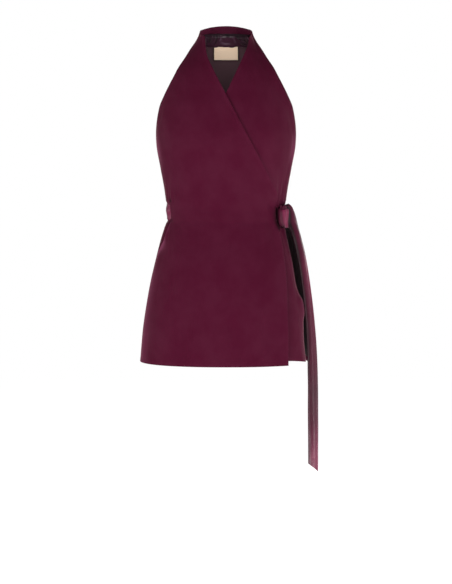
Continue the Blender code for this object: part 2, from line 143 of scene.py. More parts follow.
SECTIONS = (
    Section(0.030, 0.0528, 0.054, 0.050), Section(0.012, 0.0570, 0.056, 0.055),
    Section(0.000, 0.0613, 0.058, 0.060), Section(-0.010, 0.0658, 0.063, 0.066),
    Section(-0.020, 0.0718, 0.068, 0.072), Section(-0.035, 0.0858, 0.076, 0.081),
    Section(-0.060, 0.1088, 0.089, 0.091), Section(-0.088, 0.1317, 0.102, 0.100),
    Section(-0.116, 0.1444, 0.112, 0.105), Section(-0.143, 0.1523, 0.119, 0.108),
    Section(-0.171, 0.1591, 0.125, 0.109), Section(-0.226, 0.1626, 0.131, 0.108),
    Section(-0.254, 0.1615, 0.129, 0.105), Section(-0.310, 0.1520, 0.116, 0.097),
    Section(-0.367, 0.1420, 0.102, 0.088), Section(-0.412, 0.1373, 0.094, 0.084),
    Section(-0.431, 0.1370, 0.094, 0.084), Section(-0.451, 0.1433, 0.097, 0.088),
    Section(-0.479, 0.1521, 0.102, 0.096), Section(-0.522, 0.1633, 0.111, 0.109),
    Section(-0.578, 0.1767, 0.120, 0.120), Section(-0.634, 0.1868, 0.127, 0.127),
    Section(-0.691, 0.1949, 0.131, 0.131), Section(-0.764, 0.2012, 0.135, 0.135),
)
ARMHOLE = (
    SideEdge(ARMHOLE_TOP_Z, 90.0, 90.0), SideEdge(-0.0190, 80.0, 100.0),
    SideEdge(-0.0350, 66.0, 115.0), SideEdge(-0.0600, 58.0, 124.0),
    SideEdge(-0.0880, 56.0, 127.0), SideEdge(-0.1160, 59.0, 124.0),
    SideEdge(-0.1430, 65.0, 118.0), SideEdge(-0.1980, 77.0, 104.0),
    SideEdge(-0.2260, 82.5, 95.0), SideEdge(UNDERARM_Z, 86.0, 86.0),
)
RIGHT_SIDE = (
    SideEdge(UNDERARM_Z, 86.0, 86.0), SideEdge(-0.3120, 77.0, 77.0),
    SideEdge(-0.3860, 66.0, 66.0), SideEdge(BAND_BOTTOM_Z, 64.5, 64.5),
    SideEdge(-0.4500, 65.6, 59.0), SideEdge(-0.4774, 66.4, 57.5), SideEdge(-0.4870, 68.6, 59.0),
    SideEdge(-0.4960, 72.0, 61.5), SideEdge(-0.5060, 77.5, 65.0), SideEdge(-0.5200, 81.5, 70.0),
    SideEdge(-0.5600, 83.0, 78.0),
    SideEdge(-0.6200, 84.0, 83.0), SideEdge(-0.6910, 85.0, 86.0), SideEdge(HEM_Z, 86.0, 88.5),
)
LEFT_SIDE = (
    SideEdge(UNDERARM_Z, 86.0, 86.0), SideEdge(-0.3120, 82.0, 82.0),
    SideEdge(-0.3860, 77.0, 77.0), SideEdge(BAND_BOTTOM_Z, 76.0, 76.0),
    SideEdge(-0.4550, 74.5, 92.0), SideEdge(-0.4743, 74.0, 94.0), SideEdge(HEM_Z, 76.0, 96.0),
)
OUTER_EDGE = (
    Level(-0.005, -0.0485), Level(-0.029, -0.0465), Level(-0.052, -0.0432),
    Level(-0.082, -0.0308), Level(-0.141, -0.0010), Level(-0.254, 0.0586),
    Level(-0.328, 0.0984), Level(-0.379, 0.1200), Level(-0.412, 0.1226), Level(-0.453, 0.1232),
    Level(-0.495, 0.1310), Level(-0.550, 0.1373), Level(-0.604, 0.1403), Level(-0.640, 0.1410),
    Level(-0.686, 0.1426), Level(HEM_Z, 0.1430),
)
UNDER_EDGE = (
    Level(-0.005, 0.0554), Level(-0.020, 0.0532), Level(-0.054, 0.0399), Level(-0.082, 0.0270),
    Level(-0.137, 0.0010), Level(-0.254, -0.0626), Level(-0.328, -0.1010),
    Level(-0.379, -0.1180), Level(-0.431, -0.1160), Level(-0.520, -0.1290),
    Level(UNDER_HEM_Z, -0.1400),
)
LEFT_TUCK = (
    Level(BAND_BOTTOM_Z, 0.0), Level(-0.451, 0.003), Level(-0.479, 0.006), Level(-0.522, 0.007),
    Level(-0.578, 0.011), Level(-0.600, 0.0080), Level(-0.622, 0.0010), Level(-0.640, 0.0010),
    Level(-0.667, 0.0080), Level(-0.717, 0.0120), Level(HEM_Z, 0.0115),
)
# Light on the front's edge over the right vent, and shade under the outer front's free edge.
VENT_RIM = (
    Level(BAND_BOTTOM_Z, 0.0), Level(-0.437, 0.40), Level(-0.448, 0.50), Level(-0.466, 0.30),
    Level(-0.476, 0.80), Level(-0.486, 1.45), Level(-0.508, 1.30), Level(-0.522, 0.85),
    Level(-0.550, 0.45), Level(-0.620, 0.22), Level(HEM_Z, 0.20),
)
EDGE_SHADE = (
    Level(-0.141, 0.62), Level(-0.254, 0.42), Level(-0.390, 0.12), Level(-0.440, 0.60),
    Level(-0.460, 0.52), Level(-0.495, 0.36), Level(-0.600, 0.34), Level(-0.730, 0.24),
    Level(HEM_Z, 0.22),
)
BACK_SWING = (
    Level(BAND_BOTTOM_Z, 0.0), Level(-0.451, 0.0055), Level(-0.462, 0.0095),
    Level(-0.512, 0.0077), Level(-0.569, 0.0042), Level(-0.667, 0.0019), Level(HEM_Z, 0.0),
)

# Creases of the fronts: beside the knot, over it, then across the panels.
FRONT_FOLDS = (
    Fold(54.0, -0.3960, 56.4, -0.4330, 0.0140, 0.0034, 0.0008, 0.30, 0.34),
    Fold(56.0, -0.4260, 59.4, -0.4620, 0.0090, 0.0030, 0.0, 0.34, 0.45),
    Fold(56.8, -0.4020, 52.6, -0.3740, 0.0036, 0.0021, 0.0, 0.15, 0.55),
    Fold(60.4, -0.4020, 57.4, -0.3660, -0.0034, 0.0026, 0.0, 0.15, 0.60),
    Fold(64.4, -0.4020, 61.8, -0.3620, 0.0036, 0.0021, 0.0, 0.15, 0.60),
    Fold(68.6, -0.4020, 67.0, -0.3540, -0.0020, 0.0027, 0.0, 0.15, 0.60),
    Fold(72.4, -0.4020, 71.6, -0.3680, 0.0028, 0.0022, 0.0, 0.15, 0.60),
    Fold(58.0, -0.3860, 50.5, -0.3020, 0.0021, 0.0075, 0.003, 0.30, 0.70),
    Fold(65.0, -0.3880, 61.0, -0.3180, 0.0014, 0.0048, 0.001, 0.30, 0.70),
    Fold(46.5, -0.3300, 44.0, -0.5450, 0.0021, 0.0125, 0.002, 0.50, 0.50),
    Fold(53.0, -0.4120, 29.0, -0.3640, 0.0011, 0.0065, 0.002, 0.30, 0.80),
    Fold(54.5, -0.4350, 31.0, -0.4830, 0.0010, 0.0075, -0.002, 0.30, 0.80),
    Fold(57.5, -0.4580, 50.0, -0.5650, 0.0015, 0.0060, 0.001, 0.30, 0.70),
    Fold(-62.5, -0.3320, -70.5, -0.3920, 0.0015, 0.0033, 0.001, 0.50, 0.20),
    Fold(-65.5, -0.3950, -60.0, -0.3800, 0.0042, 0.0016, 0.0005, 0.20, 0.60),
    Fold(-61.5, -0.3880, -57.5, -0.3400, -0.0018, 0.0036, 0.001, 0.30, 0.60),
    Fold(-52.0, -0.3340, -57.4, -0.3960, 0.0012, 0.0042, -0.001, 0.60, 0.20),
    Fold(-46.0, -0.3000, -50.5, -0.3980, 0.0010, 0.0070, 0.002, 0.60, 0.30),
    Fold(-66.0, -0.4380, -55.0, -0.5000, 0.0016, 0.0048, 0.001, 0.20, 0.70),
    Fold(-51.8, -0.4860, -48.0, -0.5180, 0.0012, 0.0040, 0.0, 0.40, 0.50),
    Fold(-43.0, -0.5480, -38.8, -0.6150, 0.0010, 0.0046, 0.001, 0.40, 0.50),
    Fold(-58.0, -0.4300, -30.0, -0.4720, 0.0009, 0.0075, 0.002, 0.30, 0.80),
    Fold(-27.0, -0.5650, -30.5, -0.7700, 0.0020, 0.0210, 0.004, 0.60, 0.20),
    Fold(4.0, -0.6050, 6.5, -0.7700, 0.0015, 0.0240, -0.004, 0.60, 0.20),
    Fold(31.0, -0.5850, 34.0, -0.7700, 0.0018, 0.0190, 0.003, 0.60, 0.20),
    Fold(-63.0, -0.6100, -66.0, -0.7700, 0.0017, 0.0160, 0.002, 0.60, 0.20),
    Fold(-74.0, -0.0240, -50.0, -0.1350, 0.0011, 0.0075, 0.002, 0.30, 0.70),
    Fold(76.0, -0.0260, 51.0, -0.1280, 0.0010, 0.0080, -0.002, 0.30, 0.70),
    Fold(-60.0, -0.1500, -69.0, -0.2350, 0.0013, 0.0105, 0.003, 0.40, 0.60),
    Fold(59.0, -0.1540, 70.0, -0.2300, 0.0012, 0.0110, -0.003, 0.40, 0.60),
)
# Creases of the back: drag lines under the neck, then the cloth drawn in above and below the tie.
BACK_FOLDS = (
    Fold(112.0, -0.0350, 133.0, -0.1300, 0.0013, 0.0075, 0.003, 0.30, 0.70),
    Fold(247.0, -0.0350, 224.0, -0.1380, 0.0012, 0.0080, -0.003, 0.30, 0.70),
    Fold(171.0, -0.0700, 168.0, -0.2050, 0.0010, 0.0150, 0.003, 0.50, 0.50),
    Fold(101.0, -0.3920, 99.0, -0.3300, 0.0020, 0.0052, 0.001, 0.12, 0.70),
    Fold(113.0, -0.3920, 111.0, -0.2950, 0.0028, 0.0064, 0.002, 0.10, 0.70),
    Fold(125.5, -0.3920, 127.0, -0.3400, 0.0017, 0.0046, 0.0, 0.15, 0.60),
    Fold(137.0, -0.3920, 139.5, -0.2760, 0.0030, 0.0072, -0.002, 0.08, 0.75),
    Fold(151.0, -0.3920, 151.5, -0.3260, 0.0019, 0.0050, 0.001, 0.12, 0.65),
    Fold(163.5, -0.3920, 166.0, -0.3060, 0.0024, 0.0060, 0.001, 0.10, 0.70),
    Fold(179.0, -0.3920, 178.0, -0.3370, 0.0016, 0.0048, 0.0, 0.14, 0.60),
    Fold(190.5, -0.3920, 188.0, -0.2880, 0.0027, 0.0066, -0.002, 0.09, 0.72),
    Fold(204.0, -0.3920, 203.5, -0.3340, 0.0018, 0.0047, 0.001, 0.13, 0.60),
    Fold(217.0, -0.3920, 213.0, -0.2700, 0.0031, 0.0076, 0.002, 0.08, 0.75),
    Fold(231.0, -0.3920, 230.0, -0.3280, 0.0019, 0.0052, 0.0, 0.12, 0.65),
    Fold(244.0, -0.3920, 247.0, -0.3080, 0.0024, 0.0058, -0.001, 0.10, 0.70),
    Fold(259.0, -0.3920, 262.0, -0.3300, 0.0018, 0.0050, 0.001, 0.12, 0.65),
    Fold(273.0, -0.3920, 275.0, -0.3480, 0.0014, 0.0046, 0.0, 0.15, 0.60),
    Fold(104.0, -0.4330, 106.0, -0.5200, 0.0022, 0.0062, 0.001, 0.10, 0.70),
    Fold(117.0, -0.4330, 120.5, -0.5750, 0.0030, 0.0082, 0.002, 0.08, 0.75),
    Fold(131.5, -0.4330, 133.0, -0.4950, 0.0018, 0.0054, 0.0, 0.12, 0.65),
    Fold(144.0, -0.4330, 145.5, -0.6050, 0.0032, 0.0090, -0.003, 0.07, 0.78),
    Fold(158.5, -0.4330, 158.0, -0.5120, 0.0020, 0.0060, 0.001, 0.11, 0.68),
    Fold(172.0, -0.4330, 170.5, -0.5600, 0.0028, 0.0078, 0.002, 0.09, 0.74),
    Fold(187.0, -0.4330, 188.0, -0.5000, 0.0018, 0.0055, 0.0, 0.12, 0.65),
    Fold(199.0, -0.4330, 201.0, -0.5900, 0.0031, 0.0086, -0.002, 0.08, 0.76),
    Fold(213.5, -0.4330, 214.0, -0.5060, 0.0019, 0.0058, 0.001, 0.12, 0.66),
    Fold(227.0, -0.4330, 224.5, -0.5700, 0.0028, 0.0080, 0.002, 0.09, 0.74),
    Fold(241.5, -0.4330, 240.0, -0.4980, 0.0018, 0.0056, 0.0, 0.12, 0.65),
    Fold(255.0, -0.4330, 252.0, -0.5450, 0.0024, 0.0070, -0.001, 0.10, 0.72),
    Fold(269.0, -0.4330, 268.0, -0.4900, 0.0016, 0.0052, 0.0, 0.13, 0.64),
    Fold(126.0, -0.6150, 123.0, -0.7700, 0.0024, 0.0180, 0.004, 0.60, 0.15),
    Fold(163.0, -0.6250, 165.0, -0.7700, 0.0020, 0.0200, -0.004, 0.60, 0.15),
    Fold(203.0, -0.6100, 206.0, -0.7700, 0.0023, 0.0190, 0.003, 0.60, 0.15),
    Fold(243.0, -0.6200, 239.0, -0.7700, 0.0021, 0.0170, -0.003, 0.60, 0.15),
)
# Creases of the satin strip inside the back neck. Depth is positive where it falls back.
FACING_FOLDS = (
    Fold(192.5, 0.0040, 194.0, -0.0110, -0.0026, 0.0026, 0.0012, 0.30, 0.40),
    Fold(195.0, -0.0100, 166.0, -0.0125, -0.0022, 0.0022, -0.0030, 0.25, 0.35),
    Fold(202.0, 0.0050, 204.0, -0.0200, 0.0020, 0.0026, 0.0008, 0.30, 0.30),
    Fold(224.0, -0.0020, 214.0, -0.0135, 0.0026, 0.0024, 0.0010, 0.40, 0.40),
    Fold(233.0, 0.0000, 222.0, -0.0175, -0.0020, 0.0024, 0.0010, 0.30, 0.40),
    Fold(156.0, 0.0020, 147.0, -0.0070, 0.0028, 0.0024, 0.0006, 0.30, 0.40),
    Fold(149.0, -0.0090, 134.0, -0.0150, -0.0026, 0.0021, 0.0012, 0.30, 0.40),
    Fold(150.0, -0.0160, 133.0, -0.0185, 0.0024, 0.0019, 0.0008, 0.30, 0.40),
    Fold(184.0, 0.0050, 170.0, -0.0020, 0.0018, 0.0022, 0.0010, 0.30, 0.40),
    Fold(163.0, 0.0040, 158.0, -0.0160, -0.0018, 0.0024, -0.0010, 0.30, 0.40),
    Fold(216.0, 0.0040, 209.0, -0.0040, -0.0017, 0.0023, 0.0, 0.30, 0.40),
    Fold(126.0, 0.0010, 121.0, -0.0180, -0.0016, 0.0030, 0.0010, 0.30, 0.40),
    Fold(242.0, 0.0010, 246.0, -0.0180, -0.0016, 0.0030, 0.0010, 0.30, 0.40),
    Fold(112.0, -0.0010, 108.0, -0.0190, 0.0014, 0.0028, 0.0, 0.30, 0.40),
    Fold(256.0, -0.0010, 253.0, -0.0190, 0.0014, 0.0028, 0.0, 0.30, 0.40),
)

KNOT_RINGS = (
    KnotRing(-0.4034, 0.0138, 0.0060, 0.0000), KnotRing(-0.4048, 0.0163, 0.0080, 0.0000),
    KnotRing(-0.4120, 0.0170, 0.0086, 0.0000), KnotRing(-0.4240, 0.0160, 0.0082, 0.0004),
    KnotRing(-0.4360, 0.0148, 0.0074, 0.0006), KnotRing(-0.4450, 0.0132, 0.0062, 0.0010),
    KnotRing(-0.4485, 0.0100, 0.0044, 0.0014),
)
TAIL = (
    TailStation(0.1362, -0.0450, -0.4060, 0.45, 56.0),
    TailStation(0.1390, -0.0435, -0.3996, 0.48, 56.0),
    TailStation(0.1434, -0.0395, -0.3977, 0.54, 56.0),
    TailStation(0.1482, -0.0335, -0.4020, 0.64, 56.0),
    TailStation(0.1515, -0.0285, -0.4130, 0.80, 56.0),
    TailStation(0.1532, -0.0264, -0.4240, 1.00, 56.0),
    TailStation(0.1543, -0.0250, -0.4365, 1.16, 55.0),
    TailStation(0.1589, -0.0244, -0.4505, 1.12, 57.0),
    TailStation(0.1657, -0.0236, -0.4710, 1.04, 58.0),
    TailStation(0.1785, -0.0200, -0.5250, 1.02, 59.0),
    TailStation(0.1918, -0.0170, -0.6100, 1.00, 59.0),
    TailStation(0.2004, -0.0155, -0.6950, 1.00, 57.5),
    TailStation(0.2042, -0.0150, -0.7900, 1.04, 51.5),
    TailStation(0.2060, -0.0150, -0.9350, 1.07, 50.5),
    TailStation(0.2065, -0.0150, -1.0166, 1.07, 50.0),
)
TAIL_SHADE = (
    Shading(0.00, 0.60, 0.40, 0.70, 0.0), Shading(0.04, 0.50, 0.66, 0.70, 0.0),
    Shading(0.09, 0.50, 0.90, 0.56, 0.0), Shading(0.14, 0.52, 0.80, 0.44, 0.0),
    Shading(0.20, 0.54, 0.50, 0.50, 0.10),
    Shading(0.25, 0.34, 0.66, 0.50, 0.60), Shading(0.33, 0.34, 0.64, 0.50, 0.34),
    Shading(0.42, 0.42, 0.46, 0.55, 0.10), Shading(0.50, 0.40, 0.50, 0.60, 0.0),
    Shading(0.58, 0.50, 0.42, 0.45, 0.0), Shading(0.64, 0.60, 0.26, 0.40, 0.06),
    Shading(0.72, 0.68, 0.06, 0.40, 0.02), Shading(0.82, 0.62, 0.04, 0.50, 0.10),
    Shading(0.90, 0.30, 0.36, 0.50, 0.14), Shading(0.96, -0.14, 0.86, 0.45, 0.0),
    Shading(1.00, 0.14, 0.40, 0.50, 0.24),
)
TAIL_SHAPES = (
    RibbonShape(0.00, 0.0030, 0.0012, 0.4), RibbonShape(0.12, 0.0042, 0.0014, 0.9),
    RibbonShape(0.25, 0.0040, 0.0012, 1.6), RibbonShape(0.38, 0.0028, 0.0014, 2.1),
    RibbonShape(0.52, 0.0018, 0.0012, 2.6), RibbonShape(0.70, 0.0014, 0.0008, 2.2),
    RibbonShape(0.86, 0.0016, 0.0010, 1.5), RibbonShape(1.00, 0.0008, 0.0005, 1.2),
)
BAND_SHAPES = (
    RibbonShape(0.00, 0.0022, 0.0012, 0.6), RibbonShape(0.10, 0.0012, 0.0007, 1.4),
    RibbonShape(0.35, 0.0007, 0.0004, 2.4), RibbonShape(0.62, 0.0009, 0.0005, 1.0),
    RibbonShape(0.88, 0.0012, 0.0005, 2.0), RibbonShape(1.00, 0.0020, 0.0008, 2.8),
)


# ---------------------------------------------------------------- finishes
class Finish(NamedTuple):
    """Name and colour of a finish, for the shelf of materials."""
    name: str
    base: Colour


@dataclass(frozen=True)
class ClothFinish:
    """One cloth: colours, gloss, thread pitches and relief, in metres."""
    name: str
    base: Colour
    light: Colour
    dark: Colour
    roughness: float
    specular: float
    sheen: float
    sheen_tint: Colour
    sheen_roughness: float
    warp_pitch: float
    weft_pitch: float
    pebble: float
    relief: float
    crumple_size: float
    crumple_depth: float
    patch_size: float


class Cloth(Enum):
    """The cloths of the waistcoat."""
    CREPE = ClothFinish("wine_crepe", (0.0490, 0.0023, 0.0136), (0.1200, 0.0230, 0.0530),
                        (0.0400, 0.0014, 0.0104), 0.80, 0.06, 0.32, (0.80, 0.42, 0.46), 0.22,
                        0.00052, 0.00060, 0.75, 0.00010, 0.020, 0.00035, 0.060)
    SATIN = ClothFinish("rose_wine_satin", (0.1100, 0.0115, 0.0360), (0.2300, 0.0420, 0.0900),
                        (0.0850, 0.0080, 0.0270), 0.38, 0.06, 0.0, (0.90, 0.40, 0.56), 0.35,
                        0.00030, 0.00085, 0.10, 0.00005, 0.016, 0.00040, 0.020)
    LINING = ClothFinish("plum_lining", (0.0690, 0.0345, 0.0430), (0.0840, 0.0440, 0.0530),
                         (0.0540, 0.0260, 0.0330), 0.52, 0.16, 0.03, (0.60, 0.50, 0.54), 0.40,
                         0.00028, 0.00032, 0.10, 0.00004, 0.016, 0.00050, 0.030)
    NECK_SATIN = ClothFinish("plum_satin", (0.0360, 0.0088, 0.0200), (0.0850, 0.0330, 0.0680),
                             (0.0240, 0.0060, 0.0130), 0.33, 0.26, 0.02, (0.70, 0.50, 0.66), 0.35,
                             0.00028, 0.00070, 0.10, 0.00004, 0.016, 0.00030, 0.016)
    TAPE = ClothFinish("cream_tape", (0.8800, 0.6680, 0.4820), (0.9200, 0.7150, 0.5300),
                       (0.7500, 0.5800, 0.4100), 0.62, 0.35, 0.05, (1.0, 0.95, 0.85), 0.40,
                       0.00045, 0.00040, 0.15, 0.00008, 0.014, 0.00030, 0.012)


@dataclass(frozen=True)
class ThreadFinish:
    """A sewing thread: its colour and the pitch of its twist."""
    name: str
    base: Colour
    twist: float = 0.0006
    roughness: float = 0.55


class Thread(Enum):
    """The sewing threads."""
    PLUM = ThreadFinish("plum_thread", (0.0700, 0.0260, 0.0400))
    CREAM = ThreadFinish("cream_thread", (0.7400, 0.6000, 0.4300))
    WINE = ThreadFinish("wine_thread", (0.0900, 0.0100, 0.0300))


class Board:
    """Adds nodes to one node tree and joins them."""

    def __init__(self, tree: bpy.types.NodeTree) -> None:
        """Keep the tree."""
        self.tree = tree

    def socket(self, name: str, kind: str, way: str = "INPUT", value: object = None) -> None:
        """Give the tree a named socket.

        Args:
            name: What the socket is called.
            kind: Its socket type.
            way: INPUT or OUTPUT.
            value: Its default.
        """
        made = self.tree.interface.new_socket(name=name, in_out=way, socket_type=kind)
        if value is not None:
            made.default_value = value

    def add(self, kind: str, inputs: dict | None = None, **settings: object) -> bpy.types.Node:
        """Add a node.

        Args:
            kind: The node's type name.
            inputs: Values or output sockets for its inputs, by name or number.
            settings: Attributes to set on the node.

        Returns:
            The node.
        """
        node = self.tree.nodes.new(kind)
        for name, value in settings.items():
            setattr(node, name, value)
        for key, value in (inputs or {}).items():
            if isinstance(value, bpy.types.NodeSocket):
                self.tree.links.new(value, node.inputs[key])
            else:
                node.inputs[key].default_value = value
        return node

    def maths(self, operation: str, first: object, second: object = None,
              third: object = None) -> bpy.types.NodeSocket:
        """A sum on numbers.

        Args:
            operation: The Math node's operation.
            first: Its first value or socket.
            second: Its second, if any.
            third: Its third, if any.

        Returns:
            The result's socket.
        """
        kind = ("ShaderNodeMath")
        given = {i: v for i, v in enumerate((first, second, third)) if v is not None}
        return self.add(kind, given, operation=operation).outputs[0]

    def vector(self, operation: str, first: object, second: object = None,
               scale: object = None) -> bpy.types.NodeSocket:
        """A sum on vectors, with the same kind of arguments as maths."""
        given = {i: v for i, v in enumerate((first, second)) if v is not None}
        if scale is not None:
            given["Scale"] = scale
        return self.add("ShaderNodeVectorMath", given, operation=operation).outputs[0]


class ClothGroups:
    """Shader groups that several cloths share."""

    def __init__(self) -> None:
        """Build the groups."""
        self.relief = self._relief()
        self.crumple = self._crumple()
        self.tone = self._tone_light_and_shade()

    @staticmethod
    def _group(name: str) -> tuple[Board, bpy.types.Node, bpy.types.Node]:
        """A new shader group with its input and output nodes."""
        board = Board(bpy.data.node_groups.new(name, "ShaderNodeTree"))
        return board, board.add("NodeGroupInput"), board.add("NodeGroupOutput")

    def _relief(self) -> bpy.types.NodeTree:
        """Height of the threads: a plain weave, or the pebbles of crepe, or some of both."""
        board, given, made = self._group("Cloth relief")
        board.socket("Place", "NodeSocketVector")
        board.socket("Warp Pitch", "NodeSocketFloat", value=0.0005)
        board.socket("Weft Pitch", "NodeSocketFloat", value=0.0005)
        board.socket("Pebble", "NodeSocketFloat", value=0.5)
        board.socket("Height", "NodeSocketFloat", "OUTPUT")
        grain = board.add("ShaderNodeSeparateXYZ", {0: given.outputs["Place"]})
        turns = []
        for axis, pitch in (("X", "Warp Pitch"), ("Y", "Weft Pitch")):
            share = board.maths("DIVIDE", grain.outputs[axis], given.outputs[pitch])
            turns.append(board.maths("SINE", board.maths("MULTIPLY", share, 2.0 * math.pi)))
        weave = board.maths("MULTIPLY_ADD", board.maths("MULTIPLY", *turns), 0.5, 0.5)
        density = board.maths("DIVIDE", 0.55, given.outputs["Warp Pitch"])
        pebbles = board.add("ShaderNodeTexNoise", {
            "Vector": given.outputs["Place"], "Scale": density, "Detail": 2.0,
            "Roughness": 0.6, "Distortion": 0.8}, noise_dimensions="2D")
        height = board.add("ShaderNodeMix", {
            "Factor": given.outputs["Pebble"], 2: weave, 3: pebbles.outputs[0]})
        board.tree.links.new(height.outputs[0], made.inputs["Height"])
        return board.tree

    def _crumple(self) -> bpy.types.NodeTree:
        """Height of small soft wrinkles, longer along the grain than across it."""
        board, given, made = self._group("Soft wrinkles")
        board.socket("Place", "NodeSocketVector")
        board.socket("Size", "NodeSocketFloat", value=0.01)
        board.socket("Stretch", "NodeSocketFloat", value=0.4)
        board.socket("Height", "NodeSocketFloat", "OUTPUT")
        grain = board.add("ShaderNodeSeparateXYZ", {0: given.outputs["Place"]})
        along = board.maths("MULTIPLY", grain.outputs["Y"], given.outputs["Stretch"])
        place = board.add("ShaderNodeCombineXYZ", {"X": grain.outputs["X"], "Y": along})
        noise = board.add("ShaderNodeTexNoise", {
            "Vector": place.outputs[0], "Scale": board.maths("DIVIDE", 1.0, given.outputs["Size"]),
            "Detail": 3.0, "Roughness": 0.5, "Distortion": 0.6}, noise_dimensions="2D")
        fold = board.maths("ABSOLUTE", board.maths("SUBTRACT", noise.outputs[0], 0.5))
        board.tree.links.new(board.maths("MULTIPLY", fold, 2.0), made.inputs["Height"])
        return board.tree

    def _tone_light_and_shade(self) -> bpy.types.NodeTree:
        """Colour that drifts softly at random, with painted shade between threads and in creases, and
        painted light.
        """
        board, given, made = self._group("Cloth tone with painted light and shade")
        board.socket("Place", "NodeSocketVector")
        for name in ("Colour", "Light Colour", "Dark Colour"):
            board.socket(name, "NodeSocketColor")
        board.socket("Patch Size", "NodeSocketFloat", value=0.03)
        board.socket("Relief", "NodeSocketFloat", value=0.5)
        board.socket("Painted Light", "NodeSocketFloat", value=0.0)
        board.socket("Painted Shade", "NodeSocketFloat", value=0.0)
        board.socket("Colour", "NodeSocketColor", "OUTPUT")
        board.socket("Drift", "NodeSocketFloat", "OUTPUT")
        patches = board.add("ShaderNodeTexNoise", {
            "Vector": given.outputs["Place"],
            "Scale": board.maths("DIVIDE", 1.0, given.outputs["Patch Size"]),
            "Detail": 3.0, "Roughness": 0.6}, noise_dimensions="2D")
        drift = board.add("ShaderNodeMapRange", {
            "Value": patches.outputs[0], "From Min": 0.35, "From Max": 0.65}).outputs[0]
        toned = board.add("ShaderNodeMix", {
            "Factor": board.maths("MULTIPLY", drift, 0.08), 6: given.outputs["Colour"],
            7: given.outputs["Light Colour"]}, data_type="RGBA")
        # Painted shade between the threads: the low parts of the relief are mixed towards the dark colour.
        hollow = board.maths("MULTIPLY", board.maths("SUBTRACT", 1.0, given.outputs["Relief"]), 0.5)
        shaded = board.add("ShaderNodeMix", {
            "Factor": hollow, 6: toned.outputs[2], 7: given.outputs["Dark Colour"]},
            data_type="RGBA")
        # Painted light: the painted-light input mixes the colour towards the light colour.
        painted_lit = board.add("ShaderNodeMix", {
            "Factor": given.outputs["Painted Light"], 6: shaded.outputs[2],
            7: given.outputs["Light Colour"]}, data_type="RGBA")
        # Painted shade: the painted-shade input mixes the colour towards near black.
        deep = board.add("ShaderNodeMix", {
            "Factor": given.outputs["Painted Shade"], 6: painted_lit.outputs[2],
            7: (0.0020, 0.0008, 0.0012, 1.0)}, data_type="RGBA")
        board.tree.links.new(deep.outputs[2], made.inputs["Colour"])
        board.tree.links.new(drift, made.inputs["Drift"])
        return board.tree


